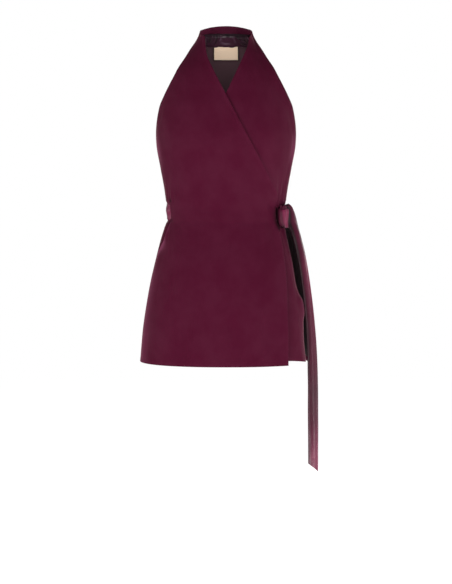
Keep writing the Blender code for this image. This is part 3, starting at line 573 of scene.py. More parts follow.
class FinishShelf:
    """Makes each material once and hands it out."""

    def __init__(self) -> None:
        """Build the shared groups."""
        self.groups = ClothGroups()
        self.made: dict[str, bpy.types.Material] = {}

    def cloth(self, cloth: Cloth) -> bpy.types.Material:
        """The material of a cloth.

        Args:
            cloth: Which cloth.

        Returns:
            Its material.
        """
        finish = cloth.value
        if finish.name in self.made:
            return self.made[finish.name]
        material, board, shader = self._start(finish.name)
        place = board.add("ShaderNodeAttribute", attribute_name=PLACE).outputs["Vector"]
        # Painted light, positive, and painted shade, negative, of each point.
        edge = board.add("ShaderNodeAttribute", attribute_name=PAINTED_LIGHT_OR_SHADE).outputs["Fac"]
        relief = board.add("ShaderNodeGroup", node_tree=self.groups.relief)
        crumple = board.add("ShaderNodeGroup", node_tree=self.groups.crumple)
        tone = board.add("ShaderNodeGroup", node_tree=self.groups.tone)
        for node in (relief, crumple, tone):
            board.tree.links.new(place, node.inputs["Place"])
        relief.inputs["Warp Pitch"].default_value = finish.warp_pitch
        relief.inputs["Weft Pitch"].default_value = finish.weft_pitch
        relief.inputs["Pebble"].default_value = finish.pebble
        crumple.inputs["Size"].default_value = finish.crumple_size
        tone.inputs["Colour"].default_value = (*finish.base, 1.0)
        tone.inputs["Light Colour"].default_value = (*finish.light, 1.0)
        tone.inputs["Dark Colour"].default_value = (*finish.dark, 1.0)
        tone.inputs["Patch Size"].default_value = finish.patch_size
        board.tree.links.new(relief.outputs["Height"], tone.inputs["Relief"])
        # The positive part goes in as painted light, the negative part as painted shade.
        board.tree.links.new(board.maths("MAXIMUM", edge, 0.0), tone.inputs["Painted Light"])
        hollow = board.maths("MAXIMUM", board.maths("MULTIPLY", edge, -1.0), 0.0)
        board.tree.links.new(hollow, tone.inputs["Painted Shade"])
        fine = board.add("ShaderNodeBump", {
            "Height": relief.outputs["Height"], "Strength": 0.6, "Distance": finish.relief})
        soft = board.add("ShaderNodeBump", {
            "Height": crumple.outputs["Height"], "Strength": 0.5,
            "Distance": finish.crumple_depth, "Normal": fine.outputs[0]})
        gloss = board.maths("MULTIPLY_ADD", tone.outputs["Drift"], -0.08, finish.roughness + 0.04)
        for socket, target in ((tone.outputs["Colour"], "Base Color"), (gloss, "Roughness"),
                               (soft.outputs[0], "Normal")):
            board.tree.links.new(socket, shader.inputs[target])
        shader.inputs["Specular IOR Level"].default_value = finish.specular
        shader.inputs["Sheen Weight"].default_value = finish.sheen
        shader.inputs["Sheen Roughness"].default_value = finish.sheen_roughness
        shader.inputs["Sheen Tint"].default_value = (*finish.sheen_tint, 1.0)
        return material

    def thread(self, thread: Thread) -> bpy.types.Material:
        """The material of a sewing thread, with a twisted relief and painted shade in the twist's grooves.
        """
        finish = thread.value
        if finish.name in self.made:
            return self.made[finish.name]
        material, board, shader = self._start(finish.name)
        place = board.add("ShaderNodeTexCoord").outputs["Object"]
        twist = board.add("ShaderNodeTexWave", {
            "Vector": place, "Scale": 0.3 / finish.twist, "Distortion": 1.0},
            bands_direction="DIAGONAL")
        # Painted shade: the twist's grooves get a darker copy of the thread's colour.
        tone = board.add("ShaderNodeMix", {
            "Factor": twist.outputs["Fac"], 6: (*(0.7 * c for c in finish.base), 1.0),
            7: (*finish.base, 1.0)}, data_type="RGBA")
        bump = board.add("ShaderNodeBump", {
            "Height": twist.outputs["Fac"], "Strength": 0.5, "Distance": 0.00005})
        board.tree.links.new(tone.outputs[2], shader.inputs["Base Color"])
        board.tree.links.new(bump.outputs[0], shader.inputs["Normal"])
        shader.inputs["Roughness"].default_value = finish.roughness
        return material

    def _start(self, name: str) -> tuple[bpy.types.Material, Board, bpy.types.Node]:
        """A new material with its board and its Principled node."""
        material = bpy.data.materials.new(name)
        material.use_nodes = True
        self.made[name] = material
        shader = material.node_tree.nodes["Principled BSDF"]
        return material, Board(material.node_tree), shader


# ---------------------------------------------------------------- the form
def eased(t: np.ndarray) -> np.ndarray:
    """Zero below 0, one above 1 and an easy curve between."""
    held = np.clip(t, 0.0, 1.0)
    return held * held * (3.0 - 2.0 * held)


class HeightCurve:
    """A monotone cubic through one column of a table, as a function of height."""

    def __init__(self, rows: Sequence[NamedTuple], column: str) -> None:
        """Keep the table's heights, values and slopes.

        Args:
            rows: Rows with a z.
            column: The column to follow.
        """
        ordered = sorted(rows, key=lambda row: row.z)
        self.heights = np.array([row.z for row in ordered])
        self.values = np.array([getattr(row, column) for row in ordered])
        self.steps = np.diff(self.heights)
        slopes = np.diff(self.values) / self.steps
        self.tangents = np.concatenate(([slopes[0]], np.zeros(len(slopes) - 1), [slopes[-1]]))
        for i in range(1, len(slopes)):
            before, after = slopes[i - 1], slopes[i]
            if before * after > 0.0:
                self.tangents[i] = 2.0 * before * after / (before + after)

    def __call__(self, z: np.ndarray) -> np.ndarray:
        """The curve's value at each height."""
        held = np.clip(z, self.heights[0], self.heights[-1])
        index = np.clip(np.searchsorted(self.heights, held) - 1, 0, len(self.steps) - 1)
        step = self.steps[index]
        t = (held - self.heights[index]) / step
        rise = self.values[index + 1] - self.values[index]
        bend_in = step * self.tangents[index] - rise
        bend_out = rise - step * self.tangents[index + 1]
        return self.values[index] + t * rise + t * (1 - t) * (bend_in * (1 - t) + bend_out * t)


def fold_depth(folds: Sequence[Fold], angle: np.ndarray, z: np.ndarray,
               radius: Height) -> np.ndarray:
    """How far the cloth falls back at each place, from a table of creases.

    Args:
        folds: The creases.
        angle: Angles of the places, in degrees.
        z: Their heights.
        radius: The form's half width at a height.

    Returns:
        Depths in metres, negative on a ridge.
    """
    total = np.zeros(np.broadcast(angle, z).shape)
    for fold in folds:
        reach = float(radius(np.array(0.5 * (fold.start_z + fold.end_z))))
        turned = (angle - fold.start_angle + 180.0) % 360.0 - 180.0
        across, down = np.radians(turned) * reach, z - fold.start_z
        axis = np.array([math.radians(fold.end_angle - fold.start_angle) * reach,
                         fold.end_z - fold.start_z])
        length = float(np.hypot(*axis))
        axis /= length
        t = (across * axis[0] + down * axis[1]) / length
        held = np.clip(t, 0.0, 1.0)
        aside = across * axis[1] - down * axis[0] - fold.bow * 4.0 * held * (1.0 - held)
        window = eased(t / fold.head) * eased((1.0 - t) / fold.tail)
        shape = np.exp(-(aside / fold.width) ** 2) - 0.28 * np.exp(-(aside / (2.3 * fold.width)) ** 2)
        total += fold.depth * window * shape
    return total


@dataclass
class TorsoForm:
    """The worn shape that all the cloth lies on, with the edges and lifts of its layers."""
    squareness: float = 2.25
    seam_gap: float = -0.0005
    cloth: float = 0.0014
    wrap_gap: float = 0.0018
    lap_gap: float = 0.0026
    proud_edge: float = 0.0010
    proud_reach: float = 9.0
    proud_vent: float = 0.0016
    vent_reach: float = 6.0
    tuck_reach: float = 18.0
    under_rise_start: float = 4.0
    under_rise_angle: float = 10.0
    band_bite: float = 0.0022
    band_ease: float = 0.0080
    bite_start: float = 78.0
    bite_fade: float = 12.0
    probe: float = 0.0005

    def __post_init__(self) -> None:
        """Turn the tables into curves."""
        self.half_width = HeightCurve(SECTIONS, "half_width")
        self.front_depth = HeightCurve(SECTIONS, "front_depth")
        self.back_depth = HeightCurve(SECTIONS, "back_depth")
        self.armhole_front = HeightCurve(ARMHOLE, "front")
        self.armhole_back = HeightCurve(ARMHOLE, "back")
        self.right_front = HeightCurve(RIGHT_SIDE, "front")
        self.right_back = HeightCurve(RIGHT_SIDE, "back")
        self.left_front = HeightCurve(LEFT_SIDE, "front")
        self.left_back = HeightCurve(LEFT_SIDE, "back")
        self.outer_x = HeightCurve(OUTER_EDGE, "value")
        self.under_x = HeightCurve(UNDER_EDGE, "value")
        self.left_tuck = HeightCurve(LEFT_TUCK, "value")
        self.back_swing = HeightCurve(BACK_SWING, "value")
        self.vent_rim = HeightCurve(VENT_RIM, "value")
        self.edge_shade = HeightCurve(EDGE_SHADE, "value")

    def point(self, angle: np.ndarray, z: np.ndarray, swing: np.ndarray | float = 0.0
              ) -> np.ndarray:
        """Points of the form, widened at the sides by swing."""
        sine, cosine = np.sin(np.radians(angle)), np.cos(np.radians(angle))
        power = self.squareness
        reach = (np.abs(sine) ** power + np.abs(cosine) ** power) ** (-1.0 / power)
        depth = np.where(cosine > 0.0, self.front_depth(z), self.back_depth(z))
        across = (self.half_width(z) + swing) * sine * reach
        return np.stack(np.broadcast_arrays(across, -depth * cosine * reach, z), axis=-1)

    def outward(self, angle: np.ndarray, z: np.ndarray) -> np.ndarray:
        """The form's outward normals."""
        turn = np.degrees(self.probe / self.half_width(z))
        along = self.point(angle + turn, z) - self.point(angle - turn, z)
        upward = self.point(angle, z + self.probe) - self.point(angle, z - self.probe)
        normal = np.cross(along, upward)
        return normal / np.linalg.norm(normal, axis=-1, keepdims=True)

    def angle_at(self, x: np.ndarray, z: np.ndarray) -> np.ndarray:
        """The angle from the centre front at which the form is x to the side."""
        across = x / self.half_width(z)
        ahead = (1.0 - np.minimum(np.abs(across), 1.0) ** self.squareness) ** (1 / self.squareness)
        return np.degrees(np.arctan2(across, ahead))

    def half_gap(self, z: np.ndarray) -> np.ndarray:
        """Half a seam's gap, as an angle at the sides."""
        return np.degrees(0.5 * self.seam_gap / self.half_width(z))

    @staticmethod
    def side(armhole: Height, seam: Height, z: np.ndarray) -> np.ndarray:
        """A side edge's angle: the armhole above the underarm, the seam and vent below."""
        return np.where(z > UNDERARM_Z, armhole(z), seam(z))

    def outer_start(self, z: np.ndarray) -> np.ndarray:
        """The outer front's side edge, on the wearer's right."""
        return -self.side(self.armhole_front, self.right_front, z) + self.half_gap(z)

    def outer_stop(self, z: np.ndarray) -> np.ndarray:
        """The outer front's free edge."""
        return self.angle_at(self.outer_x(z), z)

    def under_start(self, z: np.ndarray) -> np.ndarray:
        """The under front's free edge."""
        return self.angle_at(self.under_x(z), z)

    def under_stop(self, z: np.ndarray) -> np.ndarray:
        """The under front's side edge, on the wearer's left."""
        return self.side(self.armhole_front, self.left_front, z) - self.half_gap(z)

    def back_start(self, z: np.ndarray) -> np.ndarray:
        """The back's side edge on the wearer's left."""
        return self.side(self.armhole_back, self.left_back, z) + self.half_gap(z)

    def back_stop(self, z: np.ndarray) -> np.ndarray:
        """The back's side edge on the wearer's right."""
        return 360.0 - self.side(self.armhole_back, self.right_back, z) - self.half_gap(z)

    def outer_lift(self, angle: np.ndarray, z: np.ndarray) -> np.ndarray:
        """The outer front lies on the form, its free edge and its vent a little proud."""
        from_edge = (self.outer_stop(z) - angle) / self.proud_reach
        below = eased((BAND_BOTTOM_Z - z) / 0.03) + eased((z - BAND_TOP_Z) / 0.05)
        free = self.proud_edge * eased(1.0 - from_edge) * np.minimum(below, 1.0)
        from_vent = (angle - self.outer_start(z)) / self.vent_reach
        open_part = eased((BAND_BOTTOM_Z - z) / 0.015) * eased((z + 0.5250) / 0.035)
        return free + self.proud_vent * eased(1.0 - from_vent) * open_part

    def under_lift(self, angle: np.ndarray, z: np.ndarray) -> np.ndarray:
        """The under front lies inside the outer one and comes up to its side seam."""
        from_side = self.under_stop(z) - angle
        sunk = eased((from_side - self.under_rise_start) / self.under_rise_angle)
        tucked = self.left_tuck(z) * eased(1.0 - from_side / self.tuck_reach)
        return -(self.wrap_gap + self.cloth) * sunk - tucked

    def back_lift(self, angle: np.ndarray, z: np.ndarray) -> np.ndarray:
        """The tie bites into the back waist, and the right vent's edge laps under the front."""
        beyond = np.maximum(np.maximum(z - BAND_TOP_Z, BAND_BOTTOM_Z - z), 0.0)
        bite = np.maximum(1.0 - beyond / self.band_ease, 0.0)
        outside = 360.0 - angle - self.right_front(z)
        lapped = eased((9.0 - outside) / 10.0) * eased((BAND_BOTTOM_Z - z) / 0.012)
        return (-self.band_bite * bite * eased((angle - self.bite_start) / self.bite_fade)
                - (self.cloth + self.lap_gap) * lapped)

    def swing(self, angle: np.ndarray, z: np.ndarray) -> np.ndarray:
        """The back's vent edge swings out on the wearer's left, under the tail."""
        return self.back_swing(z) * eased(np.sin(np.radians(angle)))

    def hollow(self, angle: np.ndarray, z: np.ndarray) -> np.ndarray:
        """Painted shade in deep creases, by how shut away a place is, 0 to 0.97."""
        return 0.97 * eased((-self.creases(angle, z) - 0.0014) / 0.0044)

    def outer_shade(self, angle: np.ndarray, z: np.ndarray) -> np.ndarray:
        """Shade in the outer front's creases, and light on its edge over the right vent."""
        reach = np.interp(z, (-0.520, -0.497, -0.478, -0.446), (0.0180, 0.0210, 0.0080, 0.0042))
        in_from_edge = np.radians(angle - self.outer_start(z)) * self.half_width(z)
        rim = self.vent_rim(z) * np.exp(-(in_from_edge / reach) ** 2) * (z < BAND_BOTTOM_Z)
        # Painted light on the turned side of the skirt, on the wearer's right.
        skirt = 0.55 * eased((-0.520 - z) / 0.06) * (angle < 0.0)
        lit = rim + self.side_light(angle, z) + skirt * eased((np.abs(angle) - 57.0) / 22.0)
        shut = self.hollow(angle, z) + self.knot_shade(angle, z) + self.tie_shade(angle, z)
        return np.clip(shut - lit, -1.0, 0.97)

    def tie_shade(self, angle: np.ndarray, z: np.ndarray) -> np.ndarray:
        """Shade in the front's two notches above and below the end of the waist band."""
        above = 0.62 * np.exp(-((z + 0.3850) / 0.0044) ** 2)
        below = 0.70 * np.exp(-((z + 0.4310) / 0.0034) ** 2)
        return (above + below) * eased((-angle - 57.0) / 9.0)

    def knot_shade(self, angle: np.ndarray, z: np.ndarray) -> np.ndarray:
        """Shade in the crevice between the cloth and the front side of the knot, 0 to 0.8."""
        levels = (-0.4510, -0.4440, -0.4350, -0.4165, -0.4050)
        side = np.interp(z, levels, (55.0, 54.8, 54.6, 54.0, 55.0))
        reach = np.interp(z, levels, (2.6, 2.8, 3.2, 4.2, 4.0))
        near = np.exp(-(np.minimum(angle - side, 0.0) / reach) ** 2)
        behind = eased((np.interp(z, levels, (64.0, 68.0, 74.0, 74.0, 74.0)) - angle) / 8.0)
        return 0.80 * near * behind * eased((z + 0.4600) / 0.010) * eased((-0.3950 - z) / 0.012)

    def side_light(self, angle: np.ndarray, z: np.ndarray) -> np.ndarray:
        """Light that the turned sides of the bust catch, 0 to 0.9."""
        most = np.where(angle < 0.0, 0.84, 0.62)
        return (most * eased((np.abs(angle) - 61.0) / 16.0)
                * np.exp(-((z + 0.266) / 0.028) ** 2))

    def under_shade(self, angle: np.ndarray, z: np.ndarray) -> np.ndarray:
        """Shade on the under front below the outer one's edge, and light near its own vent."""
        beyond = np.radians(angle - self.outer_stop(z)) * self.half_width(z)
        reach = np.interp(z, (-0.500, -0.440), (0.0140, 0.0040)) * (z < -0.40) + 0.0018 * (z >= -0.40)
        contact = self.edge_shade(z) * np.exp(-np.maximum(beyond, 0.0) / reach)
        inside = np.radians(self.under_stop(z) - angle) * self.half_width(z)
        low = eased((BAND_BOTTOM_Z - z) / 0.03)
        # Painted light on the crest beside the vent, and painted shade where the vent's edge turns in.
        crest = 0.30 * np.exp(-((inside - 0.0090) / 0.0090) ** 2) * low
        turned_in = 0.92 * np.exp(-(inside / 0.0072) ** 2) * eased((-0.570 - z) / 0.04)
        lit = crest + self.side_light(angle, z)
        return np.clip(self.hollow(angle, z) + contact - lit + turned_in, -1.0, 0.97)

    def back_shade(self, angle: np.ndarray, z: np.ndarray) -> np.ndarray:
        """Shade on the strip of the back that shows beside the front's edge in the right vent."""
        outside = np.abs(360.0 - angle - self.right_front(z))
        top = 0.60 * np.exp(-((z + 0.4370) / 0.0080) ** 2)
        below = eased((BAND_BOTTOM_Z - z) / 0.004) * eased((z + 0.60) / 0.06)
        return (0.22 + top) * np.exp(-outside / 9.0) * below

    def lining_shade(self, angle: np.ndarray, z: np.ndarray) -> np.ndarray:
        """The lining lies in the dark inside the left vent and close round the label."""
        dark = 0.80 + 0.14 * eased((-0.600 - z) / 0.08)
        past_side = np.abs(self.point(angle, z)[..., 0]) - LABEL_HALF_WIDTH
        past_end = np.abs(z - LABEL_MIDDLE_Z) - LABEL_HALF_HEIGHT
        past = np.hypot(np.maximum(past_side, 0.0), np.maximum(past_end, 0.0))
        round_label = 0.90 * np.exp(-(past / 0.0030) ** 2)
        return (dark * eased((158.0 - angle) / 26.0) * eased((-0.418 - z) / 0.024)
                + round_label * (angle > 120.0) * (angle < 240.0))

    def creases(self, angle: np.ndarray, z: np.ndarray) -> np.ndarray:
        """How far the creases move the cloth, outwards where positive."""
        folds = FRONT_FOLDS + BACK_FOLDS
        return -fold_depth(folds, angle, z, self.half_width)

    def laid(self, angle: np.ndarray, z: np.ndarray, lift: np.ndarray | float,
             swing: np.ndarray | float = 0.0, creased: float = 1.0) -> np.ndarray:
        """Places on the form, lifted off it, with the creases of the layer.

        Args:
            angle: Angles in degrees.
            z: Heights.
            lift: Distance off the form.
            swing: How far the sides are widened.
            creased: Share of the creases that the layer takes up.

        Returns:
            The points, with a last axis of three.
        """
        off = lift + creased * self.creases(angle, z)
        return self.point(angle, z, swing) + self.outward(angle, z) * off[..., None]

    def grain(self, angle: np.ndarray, z: np.ndarray, middle: float) -> np.ndarray:
        """Places on the flat cloth, in metres, from the straight grain at one angle."""
        return np.stack((np.radians(angle - middle) * self.half_width(z), z), axis=-1)


# ---------------------------------------------------------------- cloth with thickness
class Side(Enum):
    """The four edges of a sheet."""
    START = "start"
    STOP = "stop"
    TOP = "top"
    BOTTOM = "bottom"


@dataclass
class Sheet:
    """Cloth given by the middle of its thickness: rows from the top, columns to the right."""
    name: str
    middle: np.ndarray
    grain: np.ndarray
    thickness: float
    turned: tuple[Side, ...] = ()
    swell: float = 0.40
    turn_width: float = 0.0060
    facing_side: Side | None = None
    facing_width: float = 0.0
    # Painted shade at each place, painted light where negative.
    shade: np.ndarray | None = None
    # Painted highlight on the turned edges.
    painted_edge_light: float = 0.08
    border: tuple[float, ...] = (0.08, 0.30, 0.65, 1.0)

    def build(self, outer: bpy.types.Material, inner: bpy.types.Material | None = None
              ) -> bpy.types.Object:
        """Give the sheet its thickness, with round edges.

        Args:
            outer: Material of the outer face.
            inner: Material of the inner face, if it is another one.

        Returns:
            The closed piece.
        """
        distances = self._distances()
        normal = self._normals()
        turned = np.zeros(self.middle.shape[:2])
        for side in self.turned:
            beyond = (distances[side] - self.turn_width) / (0.4 * self.turn_width)
            turned = np.maximum(turned, 1.0 - eased(beyond))
        shade = np.zeros(turned.shape) if self.shade is None else self.shade
        facing = (distances[self.facing_side] if self.facing_side
                  else np.full(turned.shape, np.inf))
        facing = np.where(np.isfinite(facing), facing, 1e3)
        layers = np.concatenate((self.middle, normal, self.grain, np.stack(
            (turned, facing, shade), axis=-1)), axis=-1)
        layers, rows = self._bordered(layers)
        layers, columns = self._bordered(np.swapaxes(layers, 0, 1))
        layers = np.swapaxes(layers, 0, 1)
        half = 0.5 * self.thickness * np.minimum(rows[:, None], columns[None, :])
        half = half * (1.0 + self.swell * layers[..., 8])
        middle, normal = layers[..., :3], layers[..., 3:6]
        normal = normal / np.linalg.norm(normal, axis=-1, keepdims=True)
        outside = middle + normal * half[..., None]
        inside = (middle - normal * half[..., None])[1:-1, 1:-1]
        count = half.size
        outer_at = np.arange(count).reshape(half.shape)
        inner_at = outer_at.copy()
        inner_at[1:-1, 1:-1] = count + np.arange(inside[..., 0].size).reshape(inside.shape[:2])
        outer_faces = self._quads(outer_at)
        inner_faces = self._quads(inner_at)[:, ::-1]
        verts = np.concatenate((outside.reshape(-1, 3), inside.reshape(-1, 3)))
        faces = np.concatenate((outer_faces, inner_faces))
        inner_layers = layers[1:-1, 1:-1]
        place = np.concatenate((layers[..., 6:8].reshape(-1, 2),
                                inner_layers[..., 6:8].reshape(-1, 2)))
        # Painted highlight on turned edges, less the painted shade.
        near = np.concatenate([(self.painted_edge_light * part[..., 8] - part[..., 10]).ravel()
                               for part in (layers, inner_layers)])
        lined = (layers[:-1, :-1, 9] > self.facing_width).ravel() if inner else None
        return self._object(verts, faces, place, near, outer, inner, lined)

    @staticmethod
    def _quads(at: np.ndarray) -> np.ndarray:
        """Four corners of each cell of a grid of vertex numbers."""
        return np.stack((at[:-1, :-1], at[1:, :-1], at[1:, 1:], at[:-1, 1:]), -1).reshape(-1, 4)

    def _distances(self) -> dict[Side, np.ndarray]:
        """How far each place is from each edge, along the cloth."""
        along = np.linalg.norm(np.diff(self.middle, axis=1), axis=2)
        down = np.linalg.norm(np.diff(self.middle, axis=0), axis=2)
        right = np.pad(np.cumsum(along, axis=1), ((0, 0), (1, 0)))
        below = np.pad(np.cumsum(down, axis=0), ((1, 0), (0, 0)))
        return {Side.START: right, Side.STOP: right[:, -1:] - right,
                Side.TOP: below, Side.BOTTOM: below[-1:] - below}

    def _normals(self) -> np.ndarray:
        """Outward normals of the middle."""
        down, along = np.gradient(self.middle, axis=0), np.gradient(self.middle, axis=1)
        normal = np.cross(along, -down)
        return normal / np.maximum(np.linalg.norm(normal, axis=-1, keepdims=True), 1e-12)

    def _bordered(self, layers: np.ndarray) -> tuple[np.ndarray, np.ndarray]:
        """Add rows close to the first and last one, where the edge is rounded.

        Args:
            layers: Values of the sheet, the middle first.

        Returns:
            The values with the added rows, and each row's share of the full thickness.
        """
        share = np.array(self.border)
        reach = 0.5 * self.thickness * (1.0 + (self.swell if self.turned else 0.0))

        def between(edge: np.ndarray, inward: np.ndarray) -> np.ndarray:
            gap = np.linalg.norm(inward[:, :3] - edge[:, :3], axis=1)
            part = np.minimum(share[:, None] * reach / np.maximum(gap, 1e-9)[None, :],
                              0.95 * share[:, None])
            return edge[None] + (inward - edge)[None] * part[..., None]

        first = between(layers[0], layers[1])
        last = between(layers[-1], layers[-2])[::-1]
        rounded = np.sqrt(1.0 - (1.0 - share) ** 2)
        profile = np.concatenate(([0.0], rounded, np.ones(len(layers) - 2), rounded[::-1], [0.0]))
        return np.concatenate((layers[:1], first, layers[1:-1], last, layers[-1:])), profile

    def _object(self, verts: np.ndarray, faces: np.ndarray, place: np.ndarray, near: np.ndarray,
                outer: bpy.types.Material, inner: bpy.types.Material | None,
                lined: np.ndarray | None) -> bpy.types.Object:
        """Make the mesh, its cloth places and its materials."""
        obj = mesh_object(self.name, verts, faces, place, near, [outer])
        if inner is not None:
            obj.data.materials.append(inner)
            index = np.concatenate((np.zeros(len(lined), int), lined.astype(int)))
            obj.data.polygons.foreach_set("material_index", index.astype(np.int32))
        return obj


def mesh_object(name: str, verts: np.ndarray, faces: np.ndarray, place: np.ndarray,
                near: np.ndarray, materials: Sequence[bpy.types.Material]) -> bpy.types.Object:
    """A smooth-shaded object that knows its places on the flat cloth.

    Args:
        name: Name of the piece.
        verts: Its points.
        faces: Corner numbers of its faces.
        place: Each point's place on the flat cloth.
        near: Painted light at each point, up to 1, or painted shade, down to -1.
        materials: Its materials.

    Returns:
        The object, in the scene.
    """
    mesh = bpy.data.meshes.new(name)
    mesh.from_pydata(verts.tolist(), [], faces.tolist())
    mesh.polygons.foreach_set("use_smooth", np.ones(len(mesh.polygons), bool))
    flat = np.zeros((len(verts), 3), np.float32)
    flat[:, :2] = place
    mesh.attributes.new(PLACE, "FLOAT_VECTOR", "POINT").data.foreach_set("vector", flat.ravel())
    mesh.attributes.new(PAINTED_LIGHT_OR_SHADE, "FLOAT", "POINT").data.foreach_set("value", near.astype(np.float32))
    for material in materials:
        mesh.materials.append(material)
    mesh.update()
    obj = bpy.data.objects.new(name, mesh)
    bpy.context.scene.collection.objects.link(obj)
    return obj


# ---------------------------------------------------------------- node trees
class ModifierTree:
    """A Geometry Nodes tree with named inputs, run on a helper mesh and baked."""
    name = "Tree"

    def __init__(self) -> None:
        """Build the tree once."""
        self.board = Board(bpy.data.node_groups.new(self.name, "GeometryNodeTree"))
        self.board.socket("Geometry", "NodeSocketGeometry")
        self.inputs()
        self.board.socket("Geometry", "NodeSocketGeometry", "OUTPUT")
        self.given = self.board.add("NodeGroupInput").outputs
        made = self.board.add("NodeGroupOutput")
        self.board.tree.links.new(self.body(), made.inputs["Geometry"])

    def inputs(self) -> None:
        """Name the tree's inputs."""

    def body(self) -> bpy.types.NodeSocket:
        """Build the nodes and give the geometry that comes out."""
        raise NotImplementedError

    def dressed(self, geometry: bpy.types.NodeSocket, material: bpy.types.NodeSocket
                ) -> bpy.types.NodeSocket:
        """The tree's end: real faces, smooth, in their material."""
        real = self.board.add("GeometryNodeRealizeInstances", {0: geometry})
        smooth = self.board.add("GeometryNodeSetShadeSmooth", {0: real.outputs[0]})
        return self.board.add("GeometryNodeSetMaterial", {
            0: smooth.outputs[0], "Material": material}).outputs[0]

    def bake(self, name: str, line: bpy.types.Mesh, sizes: dict[str, object]) -> bpy.types.Mesh:
        """Run the tree on a mesh and keep the result.

        Args:
            name: Name of the new mesh.
            line: The mesh that the tree starts from.
            sizes: Values of the tree's inputs, by name.

        Returns:
            The plain mesh.
        """
        helper = bpy.data.objects.new(name + "_line", line)
        bpy.context.scene.collection.objects.link(helper)
        modifier = helper.modifiers.new("shape", "NODES")
        modifier.node_group = self.board.tree
        sockets = {item.name: item.identifier for item in self.board.tree.interface.items_tree
                   if item.item_type == "SOCKET" and item.in_out == "INPUT"}
        for key, value in sizes.items():
            modifier[sockets[key]] = value
        bpy.context.view_layer.update()
        graph = bpy.context.evaluated_depsgraph_get()
        made = bpy.data.meshes.new_from_object(helper.evaluated_get(graph), depsgraph=graph)
        made.name = name
        finish = next(material for material in made.materials if material)
        made.materials.clear()
        made.materials.append(finish)
        made.polygons.foreach_set("material_index", np.zeros(len(made.polygons), np.int32))
        helper.modifiers.remove(modifier)
        bpy.data.objects.remove(helper)
        bpy.data.meshes.remove(line)
        return made


class RibbonTree(ModifierTree):
    """Spreads a strip of cloth along a line whose points know its width and outward side."""
    name = "Ribbon along a line"

    def inputs(self) -> None:
        """Name the sizes of the ribbon."""
        self.board.socket("Columns", "NodeSocketInt", value=24)
        self.board.socket("Stations", "NodeSocketInt", value=100)
        self.board.socket("Width", "NodeSocketFloat", value=TIE_WIDTH)
        self.board.socket("Crumple Depth", "NodeSocketFloat", value=0.0008)
        self.board.socket("Crumple Size", "NodeSocketFloat", value=0.03)
        self.board.socket("Seed", "NodeSocketFloat", value=1.0)
        self.board.socket("Cloth", "NodeSocketMaterial")

    def body(self) -> bpy.types.NodeSocket:
        """A grid whose rows are put on the line's points and rolled."""
        board, given = self.board, self.given
        grid = board.add("GeometryNodeMeshGrid", {
            "Size X": 2.0, "Size Y": 1.0, "Vertices X": given["Columns"],
            "Vertices Y": given["Stations"]})
        at = board.add("ShaderNodeSeparateXYZ", {0: board.add("GeometryNodeInputPosition").outputs[0]})
        side = at.outputs["X"]
        last = board.maths("SUBTRACT", given["Stations"], 1.0)
        row = board.maths("ROUND", board.maths(
            "MULTIPLY", board.maths("ADD", at.outputs["Y"], 0.5), last))

        def read(value: bpy.types.NodeSocket, kind: str) -> bpy.types.NodeSocket:
            return board.add("GeometryNodeSampleIndex", {
                "Geometry": given["Geometry"], "Value": value, "Index": row},
                data_type=kind, domain="POINT").outputs[0]

        def named(name: str, kind: str) -> bpy.types.NodeSocket:
            node = board.add("GeometryNodeInputNamedAttribute", {"Name": name}, data_type=kind)
            return read(node.outputs[0], kind)

        middle = read(board.add("GeometryNodeInputPosition").outputs[0], "FLOAT_VECTOR")
        across, face = named("across", "FLOAT_VECTOR"), named("face", "FLOAT_VECTOR")
        along = named("along", "FLOAT")
        shape = board.add("ShaderNodeSeparateXYZ", {0: named("shape", "FLOAT_VECTOR")}).outputs
        out_of_flat = board.maths("SUBTRACT", 1.0, board.maths("MULTIPLY", side, side))
        ridge = board.maths("MULTIPLY", shape["X"], out_of_flat)
        wave = board.maths("SINE", board.maths("MULTIPLY_ADD", side, 4.4, shape["Z"]))
        rolled = board.maths("MULTIPLY_ADD", shape["Y"], wave, ridge)
        flat = board.add("ShaderNodeCombineXYZ", {
            "X": board.maths("MULTIPLY", side, board.maths("MULTIPLY", given["Width"], 0.5)),
            "Y": along}).outputs[0]
        stretched = board.vector("MULTIPLY", flat, (1.0, 0.32, 1.0))
        noise = board.add("ShaderNodeTexNoise", {
            "Vector": stretched, "W": given["Seed"],
            "Scale": board.maths("DIVIDE", 1.0, given["Crumple Size"]), "Detail": 1.5},
            noise_dimensions="4D").outputs[0]
        crumple = board.maths("MULTIPLY", board.maths("SUBTRACT", noise, 0.5), given["Crumple Depth"])
        off = board.maths("ADD", rolled, crumple)
        moved = board.vector("ADD", middle, board.vector("ADD", board.vector(
            "SCALE", across, scale=side), board.vector("SCALE", face, scale=off)))
        stored = board.add("GeometryNodeStoreNamedAttribute", {
            "Geometry": grid.outputs["Mesh"], "Name": PLACE, "Value": flat},
            data_type="FLOAT_VECTOR", domain="POINT")
        placed = board.add("GeometryNodeSetPosition", {
            "Geometry": stored.outputs[0], "Position": moved})
        return self.dressed(placed.outputs[0], given["Cloth"])


